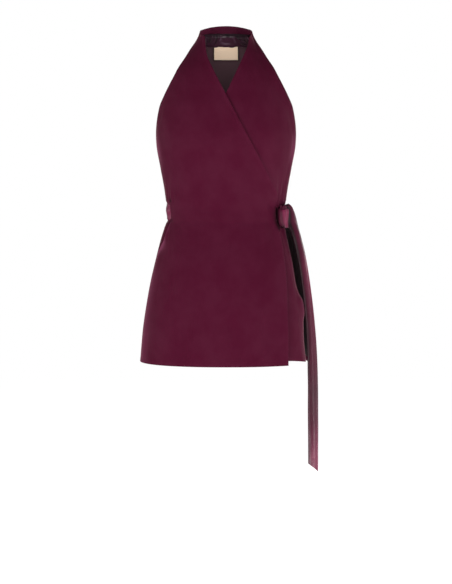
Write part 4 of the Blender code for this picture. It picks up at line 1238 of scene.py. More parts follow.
class StitchTree(ModifierTree):
    """Lays stitches of thread along a line, each leaning a little."""
    name = "Stitches along a line"

    def inputs(self) -> None:
        """Name the sizes of the stitches."""
        self.board.socket("Pitch", "NodeSocketFloat", value=0.003)
        self.board.socket("Stitch Length", "NodeSocketFloat", value=0.002)
        self.board.socket("Thread Radius", "NodeSocketFloat", value=0.0002)
        self.board.socket("Lean", "NodeSocketFloat", value=0.1)
        self.board.socket("Seed", "NodeSocketInt", value=1)
        self.board.socket("Thread", "NodeSocketMaterial")

    def body(self) -> bpy.types.NodeSocket:
        """One rounded stitch on each point of the line."""
        board, given = self.board, self.given
        curve = board.add("GeometryNodeMeshToCurve", {0: given["Geometry"]})
        points = board.add("GeometryNodeCurveToPoints", {
            "Curve": curve.outputs[0], "Length": given["Pitch"]}, mode="LENGTH")
        ball = board.add("GeometryNodeMeshUVSphere", {"Segments": 6, "Rings": 4, "Radius": 1.0})
        long = board.maths("MULTIPLY", given["Stitch Length"], 0.5)
        size = board.add("ShaderNodeCombineXYZ", {
            "X": given["Thread Radius"], "Y": given["Thread Radius"], "Z": long})
        stitch = board.add("GeometryNodeTransform", {
            "Geometry": ball.outputs["Mesh"], "Scale": size.outputs[0]})
        laid = board.add("GeometryNodeInstanceOnPoints", {
            "Points": points.outputs["Points"], "Instance": stitch.outputs[0],
            "Rotation": points.outputs["Rotation"]})
        lean = board.add("FunctionNodeRandomValue", {
            "Seed": given["Seed"]}, data_type="FLOAT_VECTOR")
        back = board.maths("MULTIPLY", given["Lean"], -1.0)
        for number, amount in ((0, back), (1, given["Lean"])):
            corner = board.add("ShaderNodeCombineXYZ", {"X": amount, "Y": amount})
            board.tree.links.new(corner.outputs[0], lean.inputs[number])
        leaned = board.add("GeometryNodeRotateInstances", {
            "Instances": laid.outputs[0], "Rotation": lean.outputs[0]})
        return self.dressed(leaned.outputs[0], given["Thread"])


def line_mesh(name: str, points: np.ndarray) -> bpy.types.Mesh:
    """A mesh of one line through the points."""
    mesh = bpy.data.meshes.new(name)
    edges = [(i, i + 1) for i in range(len(points) - 1)]
    mesh.from_pydata(np.asarray(points).tolist(), edges, [])
    return mesh


# ---------------------------------------------------------------- the pieces
@dataclass
class Maker:
    """What every sub-assembly works with."""
    form: TorsoForm
    shelf: FinishShelf
    made: list[bpy.types.Object] = field(default_factory=list)

    def keep(self, obj: bpy.types.Object, slot: str | None, *nodes: str) -> bpy.types.Object:
        """Put a finished piece on the frame and report it.

        Args:
            obj: The piece.
            slot: Not used.
            nodes: CAD nodes that it stands for.

        Returns:
            The piece.
        """
        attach(obj, "root")
        if nodes:
            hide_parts(*nodes)
        self.made.append(obj)
        count = sum(len(face.vertices) - 2 for face in obj.data.polygons)
        LOG.info("%s: %d triangles, %.0f x %.0f x %.0f mm", obj.name, count,
                 *(1000.0 * side for side in obj.dimensions))
        return obj

    @staticmethod
    def panel(levels: np.ndarray, start: Height, stop: Height, shares: np.ndarray,
              start_drop: float = 0.0, stop_drop: float = 0.0, hem_drop: float = 0.0,
              corner_drop: float = 0.0) -> tuple[np.ndarray, np.ndarray]:
        """Angles and heights of a panel whose first and last rows may slope.

        Args:
            levels: Heights of the rows.
            start: The first edge's angle at a height.
            stop: The last edge's angle at a height.
            shares: Places of the columns from the first edge, 0, to the last, 1.
            start_drop: How much lower the neck is at the first edge.
            stop_drop: How much lower the neck is at the last edge.
            hem_drop: How much lower the hem is at the last edge than at the front of it.
            corner_drop: How much lower the hem hangs at the first edge's corner.

        Returns:
            The angles and the heights, by row and column.
        """
        slope = np.interp(-levels, (-0.0100, -0.0030, 0.0093, 0.0220), (1.0, 2 / 3, 1 / 3, 0.0))
        u = shares[None, :]
        z = levels[:, None] - slope[:, None] * (start_drop * (1.0 - u) + stop_drop * u)
        low = eased((-z - 0.60) / 0.15)
        z = z - hem_drop * low * (eased((u - 0.70) / 0.30) - 0.5)
        z = z - corner_drop * low * (1.0 - eased(u / 0.16))
        first, last = start(z), stop(z)
        return first + (last - first) * u, z

    @staticmethod
    def strip(top: Height, bottom: Height, start: float, stop: float, columns: int, rows: int
              ) -> tuple[np.ndarray, np.ndarray]:
        """Angles and heights of a strip between two heights that depend on the angle."""
        angle = np.broadcast_to(np.linspace(start, stop, columns)[None, :], (rows, columns))
        v = np.linspace(0.0, 1.0, rows)[:, None]
        return angle, top(angle) + (bottom(angle) - top(angle)) * v


def spaced(*stops: tuple[float, int]) -> np.ndarray:
    """Places from a list of (place, number of steps up to the next one)."""
    parts = [np.linspace(a, b, count, endpoint=False)
             for (a, count), (b, _) in zip(stops, stops[1:])]
    return np.concatenate((*parts, [stops[-1][0]]))


@dataclass
class Fronts:
    """The outer front from the wearer's right and the under front from the left."""
    maker: Maker
    neck_drop: float = 0.0171
    under_hem_drop: float = 0.0080
    self_facing: float = 0.048
    # Less painted highlight on the fronts' turned edges.
    painted_edge_light: float = 0.02

    def build(self) -> None:
        """Make and dress both fronts."""
        form, shelf = self.maker.form, self.maker.shelf
        levels = spaced((COLLAR_SIDE_TOP_Z, 14), (-0.022, 100), (-0.355, 88), (-0.500, 76), (HEM_Z, 0))
        shares = spaced((0.0, 12), (0.08, 66), (0.80, 56), (1.0, 0))
        angle, z = self.maker.panel(levels, form.outer_start, form.outer_stop, shares,
                                    stop_drop=self.neck_drop)
        middle = form.laid(angle, z, form.outer_lift(angle, z) + 0.5 * form.cloth)
        outer = Sheet("outer_front", middle, form.grain(angle, z, -20.0), form.cloth,
                      (Side.STOP, Side.BOTTOM), facing_side=Side.STOP,
                      facing_width=self.self_facing, shade=form.outer_shade(angle, z),
                      painted_edge_light=self.painted_edge_light)
        piece = outer.build(shelf.cloth(Cloth.CREPE), shelf.cloth(Cloth.LINING))
        self.maker.keep(piece, "front_right", "front_right")

        levels = spaced((COLLAR_SIDE_TOP_Z, 14), (-0.022, 100), (-0.355, 88), (-0.500, 76),
                        (UNDER_HEM_Z, 0))
        shares = spaced((0.0, 84), (0.76, 50), (1.0, 0))
        angle, z = self.maker.panel(levels, form.under_start, form.under_stop, shares,
                                    start_drop=self.neck_drop, hem_drop=self.under_hem_drop)
        middle = form.laid(angle, z, form.under_lift(angle, z) + 0.5 * form.cloth)
        under = Sheet("under_front", middle, form.grain(angle, z, 20.0), form.cloth,
                      (Side.START, Side.BOTTOM), facing_side=Side.START,
                      facing_width=self.self_facing, shade=form.under_shade(angle, z),
                      painted_edge_light=self.painted_edge_light)
        piece = under.build(shelf.cloth(Cloth.CREPE), shelf.cloth(Cloth.LINING))
        self.maker.keep(piece, "front_left", "front_left")


@dataclass
class BackPanel:
    """The back and the lining inside it."""
    maker: Maker
    lining: float = 0.0010
    rest_gap: float = 0.0008
    lining_margin: float = 1.0
    corner_drop: float = 0.0110
    columns: int = 150

    def lining_lift(self, angle: np.ndarray, z: np.ndarray) -> np.ndarray:
        """Where the lining's inner face lies."""
        return self.maker.form.back_lift(angle, z) - self.rest_gap - self.lining

    def build(self) -> None:
        """Make and dress the back and its lining."""
        form, shelf = self.maker.form, self.maker.shelf
        top = -0.5 * form.seam_gap
        levels = spaced((top, 10), (-0.022, 90), (-0.330, 94), (-0.500, 76), (HEM_Z, 0))
        angle, z = self.maker.panel(levels, form.back_start, form.back_stop,
                                    np.linspace(0.0, 1.0, self.columns),
                                    corner_drop=self.corner_drop)
        middle = form.laid(angle, z, form.back_lift(angle, z) + 0.5 * form.cloth,
                           form.swing(angle, z))
        back = Sheet("back_panel", middle, form.grain(angle, z, 180.0), form.cloth, (Side.BOTTOM,),
                     shade=form.back_shade(angle, z))
        piece = back.build(shelf.cloth(Cloth.CREPE))
        self.maker.keep(piece, "back", "back")

        levels = spaced((top, 8), (-0.022, 70), (-0.330, 70), (-0.500, 60), (LINING_HEM_Z, 0))
        angle, z = self.maker.panel(levels, lambda h: form.back_start(h) + self.lining_margin,
                                    lambda h: form.back_stop(h) - self.lining_margin,
                                    np.linspace(0.0, 1.0, 120), corner_drop=self.corner_drop)
        middle = form.laid(angle, z, self.lining_lift(angle, z) + 0.5 * self.lining,
                           form.swing(angle, z))
        lining = Sheet("back_lining_cloth", middle, form.grain(angle, z, 180.0), self.lining,
                       (Side.BOTTOM,), shade=form.lining_shade(angle, z))
        piece = lining.build(shelf.cloth(Cloth.LINING))
        self.maker.keep(piece, "back_lining", "back_lining")


@dataclass
class NeckInside:
    """The stand collar, the satin strip inside the back neck and the bare label."""
    maker: Maker
    back: BackPanel
    collar: float = 0.0018
    arc_power: float = 1.30
    facing: float = 0.0010
    inner_gap: float = 0.0010
    facing_end: float = 97.0
    facing_back_top: float = 0.0060
    facing_side_top: float = -0.0010
    facing_bottom: float = -0.0215
    label: float = 0.0009
    label_width: float = 0.0577
    label_height: float = 0.0305
    label_top: float = -0.0225

    def arc(self, angle: np.ndarray, side_z: float, back_z: float) -> np.ndarray:
        """A height that climbs from the sides to the centre back."""
        climb = np.maximum(-np.cos(np.radians(angle)), 0.0) ** self.arc_power
        return side_z + (back_z - side_z) * climb

    def build(self) -> None:
        """Make the collar, the strip and the label."""
        self.make_collar()
        self.make_facing()
        self.make_label()

    def make_collar(self) -> None:
        """The stand collar, of two crepe layers with a soft turned top edge."""
        form, shelf = self.maker.form, self.maker.shelf
        end = 90.0 + float(form.half_gap(np.array(COLLAR_SIDE_TOP_Z)))
        angle, z = self.maker.strip(
            lambda a: self.arc(a, COLLAR_SIDE_TOP_Z, COLLAR_BACK_TOP_Z),
            lambda a: np.full(a.shape, 0.5 * form.seam_gap), end, 360.0 - end, 150, 22)
        wave = 0.0004 * np.sin(np.radians(angle) * 7.0 + 1.0) + 0.0003 * np.sin(np.radians(angle) * 17.0)
        middle = form.laid(angle, z, 0.5 * self.collar + wave)
        # The whole collar gets a little painted light: a negative shade mixes it towards the light colour.
        sheet = Sheet("stand_collar", middle, form.grain(angle, z, 180.0), self.collar,
                      (Side.TOP,), swell=0.25, turn_width=0.004, shade=np.full(z.shape, -0.17))
        piece = sheet.build(shelf.cloth(Cloth.CREPE))
        self.maker.keep(piece, "collar", "collar")

    def make_facing(self) -> None:
        """The crumpled satin strip, whose lower edge laps over the label."""
        form, shelf = self.maker.form, self.maker.shelf

        def lower(angle: np.ndarray) -> np.ndarray:
            turn = np.radians(angle)
            return self.facing_bottom - 0.0012 - 0.0007 * np.sin(turn * 11.0) + 0.0005 * np.sin(turn * 23.0)

        angle, z = self.maker.strip(
            lambda a: self.arc(a, self.facing_side_top, self.facing_back_top), lower,
            self.facing_end, 360.0 - self.facing_end, 260, 36)
        folds = fold_depth(FACING_FOLDS, angle, z, form.half_width)
        v = np.linspace(0.0, 1.0, angle.shape[0])[:, None]
        held = eased(v / 0.16) * (1.0 - 0.45 * eased((v - 0.7) / 0.3))
        lap = 0.0012 * eased((v - 0.72) / 0.28)
        loose = 0.0016 * eased(v / 0.3) * eased((1.0 - v) / 0.3)
        fallen = self.back.lining_lift(angle, z) - self.inner_gap - 0.5 * self.facing
        sewn = self.back.lining_lift(angle, z) * (1.0 - eased(z / 0.0030)) - 0.7 * self.facing
        lift = sewn + (fallen - sewn) * eased(v / 0.16) - lap - loose - folds * held
        # Painted shade at the strip's ends, in its troughs, along its top under the collar and along its
        # bottom by the label, and painted highlights on its ridges.
        ends = np.maximum(eased((128.0 - angle) / 16.0), eased((angle - 234.0) / 14.0))
        sheet = Sheet("neck_satin", form.laid(angle, z, lift), form.grain(angle, z, 180.0),
                      self.facing, (Side.BOTTOM,), swell=0.3, turn_width=0.002,
                      shade=0.55 * ends + 0.60 * eased(folds / 0.0016) - 0.50 * eased(-folds / 0.0018)
                      + 0.55 * eased((0.30 - v) / 0.22) + 0.30 * eased((v - 0.80) / 0.18))
        piece = sheet.build(shelf.cloth(Cloth.NECK_SATIN))
        self.maker.keep(piece, "neck_facing", "neck_facing")

    def make_label(self) -> None:
        """The woven label, left bare, a little bowed between its sewn ends."""
        form, shelf = self.maker.form, self.maker.shelf
        levels = np.linspace(self.label_top, self.label_top - self.label_height, 34)
        angle, z = self.maker.panel(
            levels, lambda h: 180.0 - form.angle_at(np.full(h.shape, 0.5 * self.label_width), h),
            lambda h: 180.0 + form.angle_at(np.full(h.shape, 0.5 * self.label_width), h),
            np.linspace(0.0, 1.0, 60))
        u = np.linspace(-1.0, 1.0, 60)[None, :]
        v = np.linspace(0.0, 1.0, 34)[:, None]
        bow = 0.0005 * (1.0 - u ** 2) + 0.00022 * np.sin(5.0 * u + 3.0 * v) * (1.0 - u ** 4)
        lift = self.back.lining_lift(angle, z) - self.inner_gap - 0.5 * self.label - bow
        sheet = Sheet("neck_label", form.laid(angle, z, lift), form.grain(angle, z, 180.0),
                      self.label, (Side.START, Side.STOP), swell=0.5, turn_width=0.0030)
        piece = sheet.build(shelf.cloth(Cloth.TAPE))
        self.maker.keep(piece, "label", "label")

    def label_rim(self, inset: float, off: float) -> np.ndarray:
        """Points round the label, inside its edge and off its inner face."""
        form = self.maker.form
        half = 0.5 * self.label_width - inset
        top, bottom = self.label_top - 0.0012, self.label_top - self.label_height + inset
        xs = np.concatenate((np.full(20, -half), np.linspace(-half, half, 40), np.full(20, half)))
        zs = np.concatenate((np.linspace(top, bottom, 20), np.full(40, bottom),
                             np.linspace(bottom, top, 20)))
        angle = 180.0 - form.angle_at(xs, zs)
        u = xs / (0.5 * self.label_width)
        v = (self.label_top - zs) / self.label_height
        bow = 0.0005 * (1.0 - u ** 2) + 0.00022 * np.sin(-5.0 * u + 3.0 * v) * (1.0 - u ** 4)
        lift = self.back.lining_lift(angle, zs) - self.inner_gap - self.label - bow - off
        return form.laid(angle, zs, lift)


@dataclass
class WaistTie:
    """The satin tie: a band round the back waist, a knot and one free tail."""
    maker: Maker
    ribbons: RibbonTree
    thickness: float = 0.0014
    rest_gap: float = 0.0008
    band_start: float = 69.5
    end_reach: float = 7.0
    end_pinch: float = 0.0042
    knot_angle: float = 62.0
    knot_squareness: float = 2.6
    end_slant: float = 0.0122

    def build(self) -> None:
        """Make the band, the knot and the tail."""
        self.make_band()
        self.make_knot()
        self.make_tail()

    def ribbon(self, name: str, middle: np.ndarray, across: np.ndarray, face: np.ndarray,
               shapes: Sequence[RibbonShape], crumple: tuple[float, float, float],
               columns: int) -> tuple[np.ndarray, np.ndarray, bpy.types.Material]:
        """Spread a ribbon along a line with the node tree and read it back.

        Args:
            name: Name of the ribbon.
            middle: Points of the line.
            across: From the line to the ribbon's second edge at each point.
            face: Outward direction at each point.
            shapes: How the ribbon is rolled along its length.
            crumple: Depth and size of its crumples, and their seed.
            columns: Points across the ribbon.

        Returns:
            Points and flat places by station and column, and the material.
        """
        step = np.linalg.norm(np.diff(middle, axis=0), axis=1)
        along = np.concatenate(([0.0], np.cumsum(step)))
        share = along / along[-1]
        table = np.array(shapes)
        shape = np.stack([np.interp(share, table[:, 0], table[:, i]) for i in (1, 2, 3)], -1)
        line = line_mesh(name + "_path", middle)
        for key, values in (("across", across), ("face", face), ("shape", shape)):
            store = line.attributes.new(key, "FLOAT_VECTOR", "POINT")
            store.data.foreach_set("vector", np.ascontiguousarray(values, np.float32).ravel())
        line.attributes.new("along", "FLOAT", "POINT").data.foreach_set(
            "value", along.astype(np.float32))
        depth, size, seed = crumple
        baked = self.ribbons.bake(name + "_cloth", line, {
            "Columns": columns, "Stations": len(middle), "Width": TIE_WIDTH,
            "Crumple Depth": depth, "Crumple Size": size, "Seed": seed,
            "Cloth": self.maker.shelf.cloth(Cloth.SATIN)})
        points = np.empty(len(baked.vertices) * 3, np.float32)
        baked.vertices.foreach_get("co", points)
        flat = np.empty(len(baked.vertices) * 3, np.float32)
        baked.attributes[PLACE].data.foreach_get("vector", flat)
        points, flat = points.reshape(-1, 3).astype(float), flat.reshape(-1, 3).astype(float)
        order = np.lexsort((flat[:, 0], flat[:, 1]))
        grid = (len(middle), columns)
        material = baked.materials[0]
        bpy.data.meshes.remove(baked)
        return points[order].reshape(*grid, 3), flat[order, :2].reshape(*grid, 2), material

    def make_band(self) -> None:
        """The band from beside the knot round the back to the right side seam."""
        form = self.maker.form
        stop = float(form.back_stop(np.array(BAND_TOP_Z)))
        angle = np.linspace(self.band_start, stop, 330)

        def edge(height: float) -> np.ndarray:
            lift = form.cloth + self.rest_gap + 0.5 * self.thickness
            sewn = eased((angle - stop + self.end_reach) / self.end_reach)
            z = height + self.end_pinch * sewn * (BAND_TOP_Z - height) / TIE_WIDTH
            lift = form.back_lift(angle, z) + lift * (1.0 - sewn) + 0.3 * form.cloth * sewn
            return form.laid(angle, z, lift, creased=0.25)

        top, bottom = edge(BAND_TOP_Z), edge(BAND_BOTTOM_Z)
        centre = edge(0.5 * (BAND_TOP_Z + BAND_BOTTOM_Z))
        out = form.outward(angle, np.full(angle.shape, 0.5 * (BAND_TOP_Z + BAND_BOTTOM_Z)))
        wander = 0.0009 * np.sin(np.radians(angle) * 3.0 + 0.6) + 0.0005 * np.sin(np.radians(angle) * 7.0)
        centre[:, 2] += wander
        points, flat, satin = self.ribbon(
            "waist_band", centre, 0.5 * (bottom - top), out, BAND_SHAPES, (0.0016, 0.026, 3.0), 26)
        sheet = Sheet("waist_band", points.transpose(1, 0, 2), flat.transpose(1, 0, 2)[..., ::-1],
                      self.thickness, (Side.TOP, Side.BOTTOM), swell=0.35, turn_width=0.0022)
        piece = sheet.build(satin)
        self.maker.keep(piece, "tie_band", "tie_band")

    def make_tail(self) -> None:
        """The free end: up over the knot and down beside the vent, cut on a slant."""
        count = 300
        rows = np.array(TAIL)
        place = np.linspace(0.0, 1.0, count) * (len(rows) - 1)
        index = np.minimum(place.astype(int), len(rows) - 2)
        f = (place - index)[:, None]
        p0, p1 = rows[np.maximum(index - 1, 0)], rows[index]
        p2, p3 = rows[index + 1], rows[np.minimum(index + 2, len(rows) - 1)]
        curve = 0.5 * (2 * p1 + f * (p2 - p0) + f * f * (2 * p0 - 5 * p1 + 4 * p2 - p3)
                       + f ** 3 * (3 * p1 - p0 - 3 * p2 + p3))
        step = np.linalg.norm(np.diff(curve[:, :3], axis=0), axis=1)
        share = np.concatenate(([0.0], np.cumsum(step))) / step.sum()
        even = np.linspace(0.0, 1.0, count)
        curve = np.stack([np.interp(even, share, curve[:, i]) for i in range(5)], -1)
        path = np.gradient(curve[:, :3], axis=0)
        path /= np.linalg.norm(path, axis=1, keepdims=True)
        turn = np.radians(curve[:, 4])
        across = np.stack((np.cos(turn), np.sin(turn), np.zeros(count)), -1)
        face = np.cross(path, across)
        face /= np.linalg.norm(face, axis=1, keepdims=True)
        across = across * (0.5 * TIE_WIDTH * curve[:, 3:4])
        across[:, 2] -= self.end_slant * eased((even - 0.94) / 0.06)
        points, flat, satin = self.ribbon(
            "tie_end", curve[:, :3], across, face, TAIL_SHAPES, (0.0026, 0.034, 11.0), 26)
        sheet = Sheet("tie_end", points, flat, self.thickness,
                      (Side.START, Side.STOP, Side.BOTTOM), swell=0.35, turn_width=0.0022,
                      shade=self.tail_shade(even, points.shape[1]))
        piece = sheet.build(satin)
        self.maker.keep(piece, "tie_tail", "tie_tail")

    @staticmethod
    def tail_shade(share: np.ndarray, columns: int) -> np.ndarray:
        """Shade where the tail rolls away from the light, by station and column."""
        table = np.array(TAIL_SHADE)
        overall, first, reach, last = (np.interp(share, table[:, 0], table[:, i])[:, None]
                                       for i in (1, 2, 3, 4))
        side = np.linspace(0.0, 2.0, columns)[None, :]
        shade = overall + first * np.exp(-(side / reach) ** 2) - last * eased((side - 0.75) / 0.8)
        return np.clip(shade, -1.0, 0.97)

    def knot_frame(self) -> tuple[np.ndarray, np.ndarray]:
        """Outward and sideways directions at the knot."""
        z = np.array(0.5 * (KNOT_RINGS[0].z + KNOT_RINGS[-1].z))
        out = self.maker.form.outward(np.array(self.knot_angle), z)
        across = np.array([-out[1], out[0], 0.0])
        return out, across / np.linalg.norm(across)

    def knot_middle(self, z: np.ndarray, half_depth: np.ndarray, shift: np.ndarray) -> np.ndarray:
        """The knot's axis at each height."""
        out, across = self.knot_frame()
        seat = self.maker.form.point(np.full(z.shape, self.knot_angle), z)
        lift = self.maker.form.cloth + self.rest_gap + half_depth
        return seat + out * lift[:, None] + across * shift[:, None]

    def make_knot(self) -> None:
        """The knot: a wrapped wedge with pleats, hollow at the top, and the folds above it."""
        out, across = self.knot_frame()
        ordered = KNOT_RINGS
        heights = np.array([r.z for r in ordered])
        body = np.linspace(heights[0], heights[-1], 44)

        def at(column: int, z: np.ndarray) -> np.ndarray:
            table = np.array(ordered)
            return np.interp(-z, -table[:, 0], table[:, column])

        sides = 96
        theta = np.linspace(0.0, 2.0 * np.pi, sides, endpoint=False)
        reach = (np.abs(np.sin(theta)) ** self.knot_squareness
                 + np.abs(np.cos(theta)) ** self.knot_squareness) ** (-1.0 / self.knot_squareness)
        rings = []
        sunk = [(-0.4075, 0.45), (-0.4052, 0.66), (-0.4036, 0.84)]
        closed = [(-0.4490, 0.66), (-0.4482, 0.30)]
        for z, scale in (*sunk, *((float(h), 1.0) for h in body), *closed):
            level = np.array([min(max(z, heights[-1]), heights[0])])
            wide, deep, shift = (at(i, level) for i in (1, 2, 3))
            share = (heights[0] - level[0]) / (heights[0] - heights[-1])
            pleats = (-0.0009 * np.exp(-((theta - 2.45) / 0.40) ** 2) * (1.0 - share)
                      + 0.0006 * np.exp(-((theta - 1.80 - 0.10 * share) / 0.11) ** 2)
                      - 0.0005 * np.exp(-((theta - 1.55 - 0.06 * share) / 0.09) ** 2)
                      - 0.0006 * np.exp(-((theta - 0.72) / 0.12) ** 2)
                      + 0.0005 * share ** 2 * np.sin(9.0 * theta + 0.8)
                      - 0.0005 * np.exp(-((theta - 2.95 + 0.30 * share) / 0.10) ** 2))
            rim = (0.0004 * np.sin(3.0 * theta + 0.6)
                   - 0.0022 * np.exp(-((theta - 2.30) / 0.60) ** 2)) * math.exp(-share / 0.10)
            middle = self.knot_middle(level, deep, shift)[0]
            ring = (middle + across * (scale * (wide * np.cos(theta) * reach))[:, None]
                    + out * (scale * (deep * np.sin(theta) * reach + pleats))[:, None])
            ring[:, 2] = z + rim
            rings.append(ring)
        grid = np.array(rings)
        verts, faces, place = self.closed_tube(grid)
        crown = self.crown_sheet(out, across)
        # Painted light and shade on the knot: a painted highlight on its lit facet, painted shade on both
        # its sides and its bottom.
        degrees = np.degrees(theta)
        fall = np.linspace(0.0, 1.0, len(grid))[:, None]
        wrap = (0.16 * np.exp(-((degrees - 100.0) / 24.0) ** 2)
                - 0.54 * eased((degrees - 130.0 + 32.0 * fall) / 32.0)
                - 0.62 * eased((40.0 - degrees) / 24.0) - 0.44 * eased((fall - 0.74) / 0.24))
        near = np.concatenate((wrap.ravel(), (-0.6, 0.0)))
        # Deep painted shade in the knot's sunk top.
        near[:3 * sides] = -0.85
        knot = mesh_object("tie_knot", verts, faces, place, near,
                           [self.maker.shelf.cloth(Cloth.SATIN)])
        self.maker.keep(knot, "knot", "knot")
        self.maker.keep(crown, "knot")

    @staticmethod
    def closed_tube(grid: np.ndarray) -> tuple[np.ndarray, list, np.ndarray]:
        """Join rings into a closed skin with a pole at each end."""
        rows, sides = grid.shape[:2]
        verts = np.concatenate((grid.reshape(-1, 3), [grid[0].mean(0)], [grid[-1].mean(0)]))
        top, bottom = rows * sides, rows * sides + 1
        faces: list[tuple[int, ...]] = []
        for side in range(sides):
            after = (side + 1) % sides
            faces.append((top, side, after))
            last = (rows - 1) * sides
            faces.append((bottom, last + after, last + side))
            for row in range(rows - 1):
                a = row * sides
                faces.append((a + side, a + sides + side, a + sides + after, a + after))
        step = np.linalg.norm(np.diff(grid, axis=0), axis=2).mean(1)
        down = -np.concatenate(([0.0], np.cumsum(step)))
        turn = np.abs(np.linspace(-1.0, 1.0, sides))
        place = np.stack(np.broadcast_arrays(0.045 * turn[None, :], down[:, None]), -1)
        place = np.concatenate((place.reshape(-1, 2), [[0.0, 0.0]], [[0.0, down[-1]]]))
        return verts, np.array([f if len(f) == 4 else (*f, f[-1]) for f in faces]), place

    def crown_sheet(self, out: np.ndarray, across: np.ndarray) -> bpy.types.Object:
        """The gathered folds of the tie that rise out of the front of the knot's top."""
        columns, rows = 110, 18
        u = np.linspace(0.0, 1.0, columns)[None, :]
        v = np.linspace(0.0, 1.0, rows)[:, None]
        theta = np.radians(238.0 - 190.0 * u)
        lobes = np.abs(np.sin(2.0 * np.pi * u * 1.02 + 0.25)) ** 0.6
        top = -0.4008 + 0.0052 * lobes * (1.0 - 0.15 * u) + 0.0009 * np.sin(21.0 * u + 1.0)
        z = top + (-0.4095 - top) * v
        wave = 0.10 * np.sin(26.0 * u + 1.4 * v) + 0.06 * np.sin(49.0 * u - 1.2)
        scale = (0.70 + 0.10 * lobes + wave) * (1.0 - 0.22 * (1.0 - v))
        seat = self.knot_middle(np.array([-0.4048]), np.array([0.0080]), np.array([0.0]))[0]
        points = (seat + across * (0.0163 * scale * np.cos(theta))[..., None]
                  + out * (0.0080 * scale * np.sin(theta))[..., None])
        points[..., 2] = z
        grain = np.stack(np.broadcast_arrays(0.034 * u, -0.014 * v), -1)
        # The folds lie in painted shade over their whole area.
        sheet = Sheet("knot_folds", points, grain, 0.0011, (Side.TOP,), swell=0.3,
                      turn_width=0.002, shade=np.full((rows, columns), 0.55))
        return sheet.build(self.maker.shelf.cloth(Cloth.SATIN))


@dataclass
class Stitching:
    """Rows of stitches: round the label, along the neck seam and inside the hems."""
    maker: Maker
    neck: NeckInside
    tree: StitchTree
    radius: float = 0.00016

    def row(self, name: str, points: np.ndarray, pitch: float, length: float, seed: int,
            thread: Thread, slot: str) -> None:
        """Lay one row of stitches.

        Args:
            name: Name of the row.
            points: The line that it follows.
            pitch: Distance from stitch to stitch.
            length: Length of a stitch.
            seed: Seed of its small leans.
            thread: Which thread.
            slot: Material slot of the cloth that it is sewn on.
        """
        mesh = self.tree.bake(name, line_mesh(name + "_path", points), {
            "Pitch": pitch, "Stitch Length": length, "Thread Radius": self.radius,
            "Lean": 0.12, "Seed": seed, "Thread": self.maker.shelf.thread(thread)})
        obj = bpy.data.objects.new(name, mesh)
        bpy.context.scene.collection.objects.link(obj)
        self.maker.keep(obj, slot)

    def build(self) -> None:
        """Lay all the rows."""
        form = self.maker.form
        self.row("label_stitches", self.neck.label_rim(0.0013, 0.00032), 0.0017, 0.0012, 5,
                 Thread.CREAM, "label")
        angle = np.linspace(100.0, 260.0, 160)
        z = self.neck.arc(angle, self.neck.facing_side_top, self.neck.facing_back_top) - 0.0016
        lift = (self.neck.back.lining_lift(angle, z) - self.neck.inner_gap
                - 0.5 * self.neck.facing - 0.0007)
        self.row("neck_seam_stitches", form.laid(angle, z, lift), 0.0026, 0.0019, 7,
                 Thread.PLUM, "neck_facing")
        hems = (("outer_hem_stitches", form.outer_start, form.outer_stop, form.outer_lift,
                 HEM_Z, "front_right"),
                ("under_hem_stitches", form.under_start, form.under_stop, form.under_lift,
                 UNDER_HEM_Z, "front_left"),
                ("lining_hem_stitches", lambda h: form.back_start(h) + 1.4,
                 lambda h: form.back_stop(h) - 1.4, self.neck.back.lining_lift, LINING_HEM_Z,
                 "back_lining"))
        for seed, (name, start, stop, lift, hem, slot) in enumerate(hems, 20):
            height = np.array(hem + 0.0085)
            angle = np.linspace(float(start(height)) + 0.6, float(stop(height)) - 0.6, 200)
            z = np.full(angle.shape, float(height))
            swing = form.swing(angle, z) if slot == "back_lining" else 0.0
            points = form.laid(angle, z, lift(angle, z) - 0.00004, swing)
            self.row(name, points, 0.0090, 0.0032, seed, Thread.WINE, slot)


# ---------------------------------------------------------------- the studio
@dataclass
class SoftLight:
    """One large soft light."""
    name: str
    place: Colour
    size: tuple[float, float]
    power: float
    aim: Colour = (0.0, 0.0, -0.45)

    def build(self) -> None:
        """Hang the light and turn it to the garment."""
        lamp = bpy.data.lights.new(self.name, "AREA")
        lamp.shape = "RECTANGLE"
        lamp.size, lamp.size_y = self.size
        lamp.energy = self.power
        obj = bpy.data.objects.new(self.name, lamp)
        obj.location = self.place
        aim = Vector(self.aim) - Vector(self.place)
        obj.rotation_euler = aim.to_track_quat("-Z", "Y").to_euler()
        obj.visible_camera = False
        bpy.context.scene.collection.objects.link(obj)


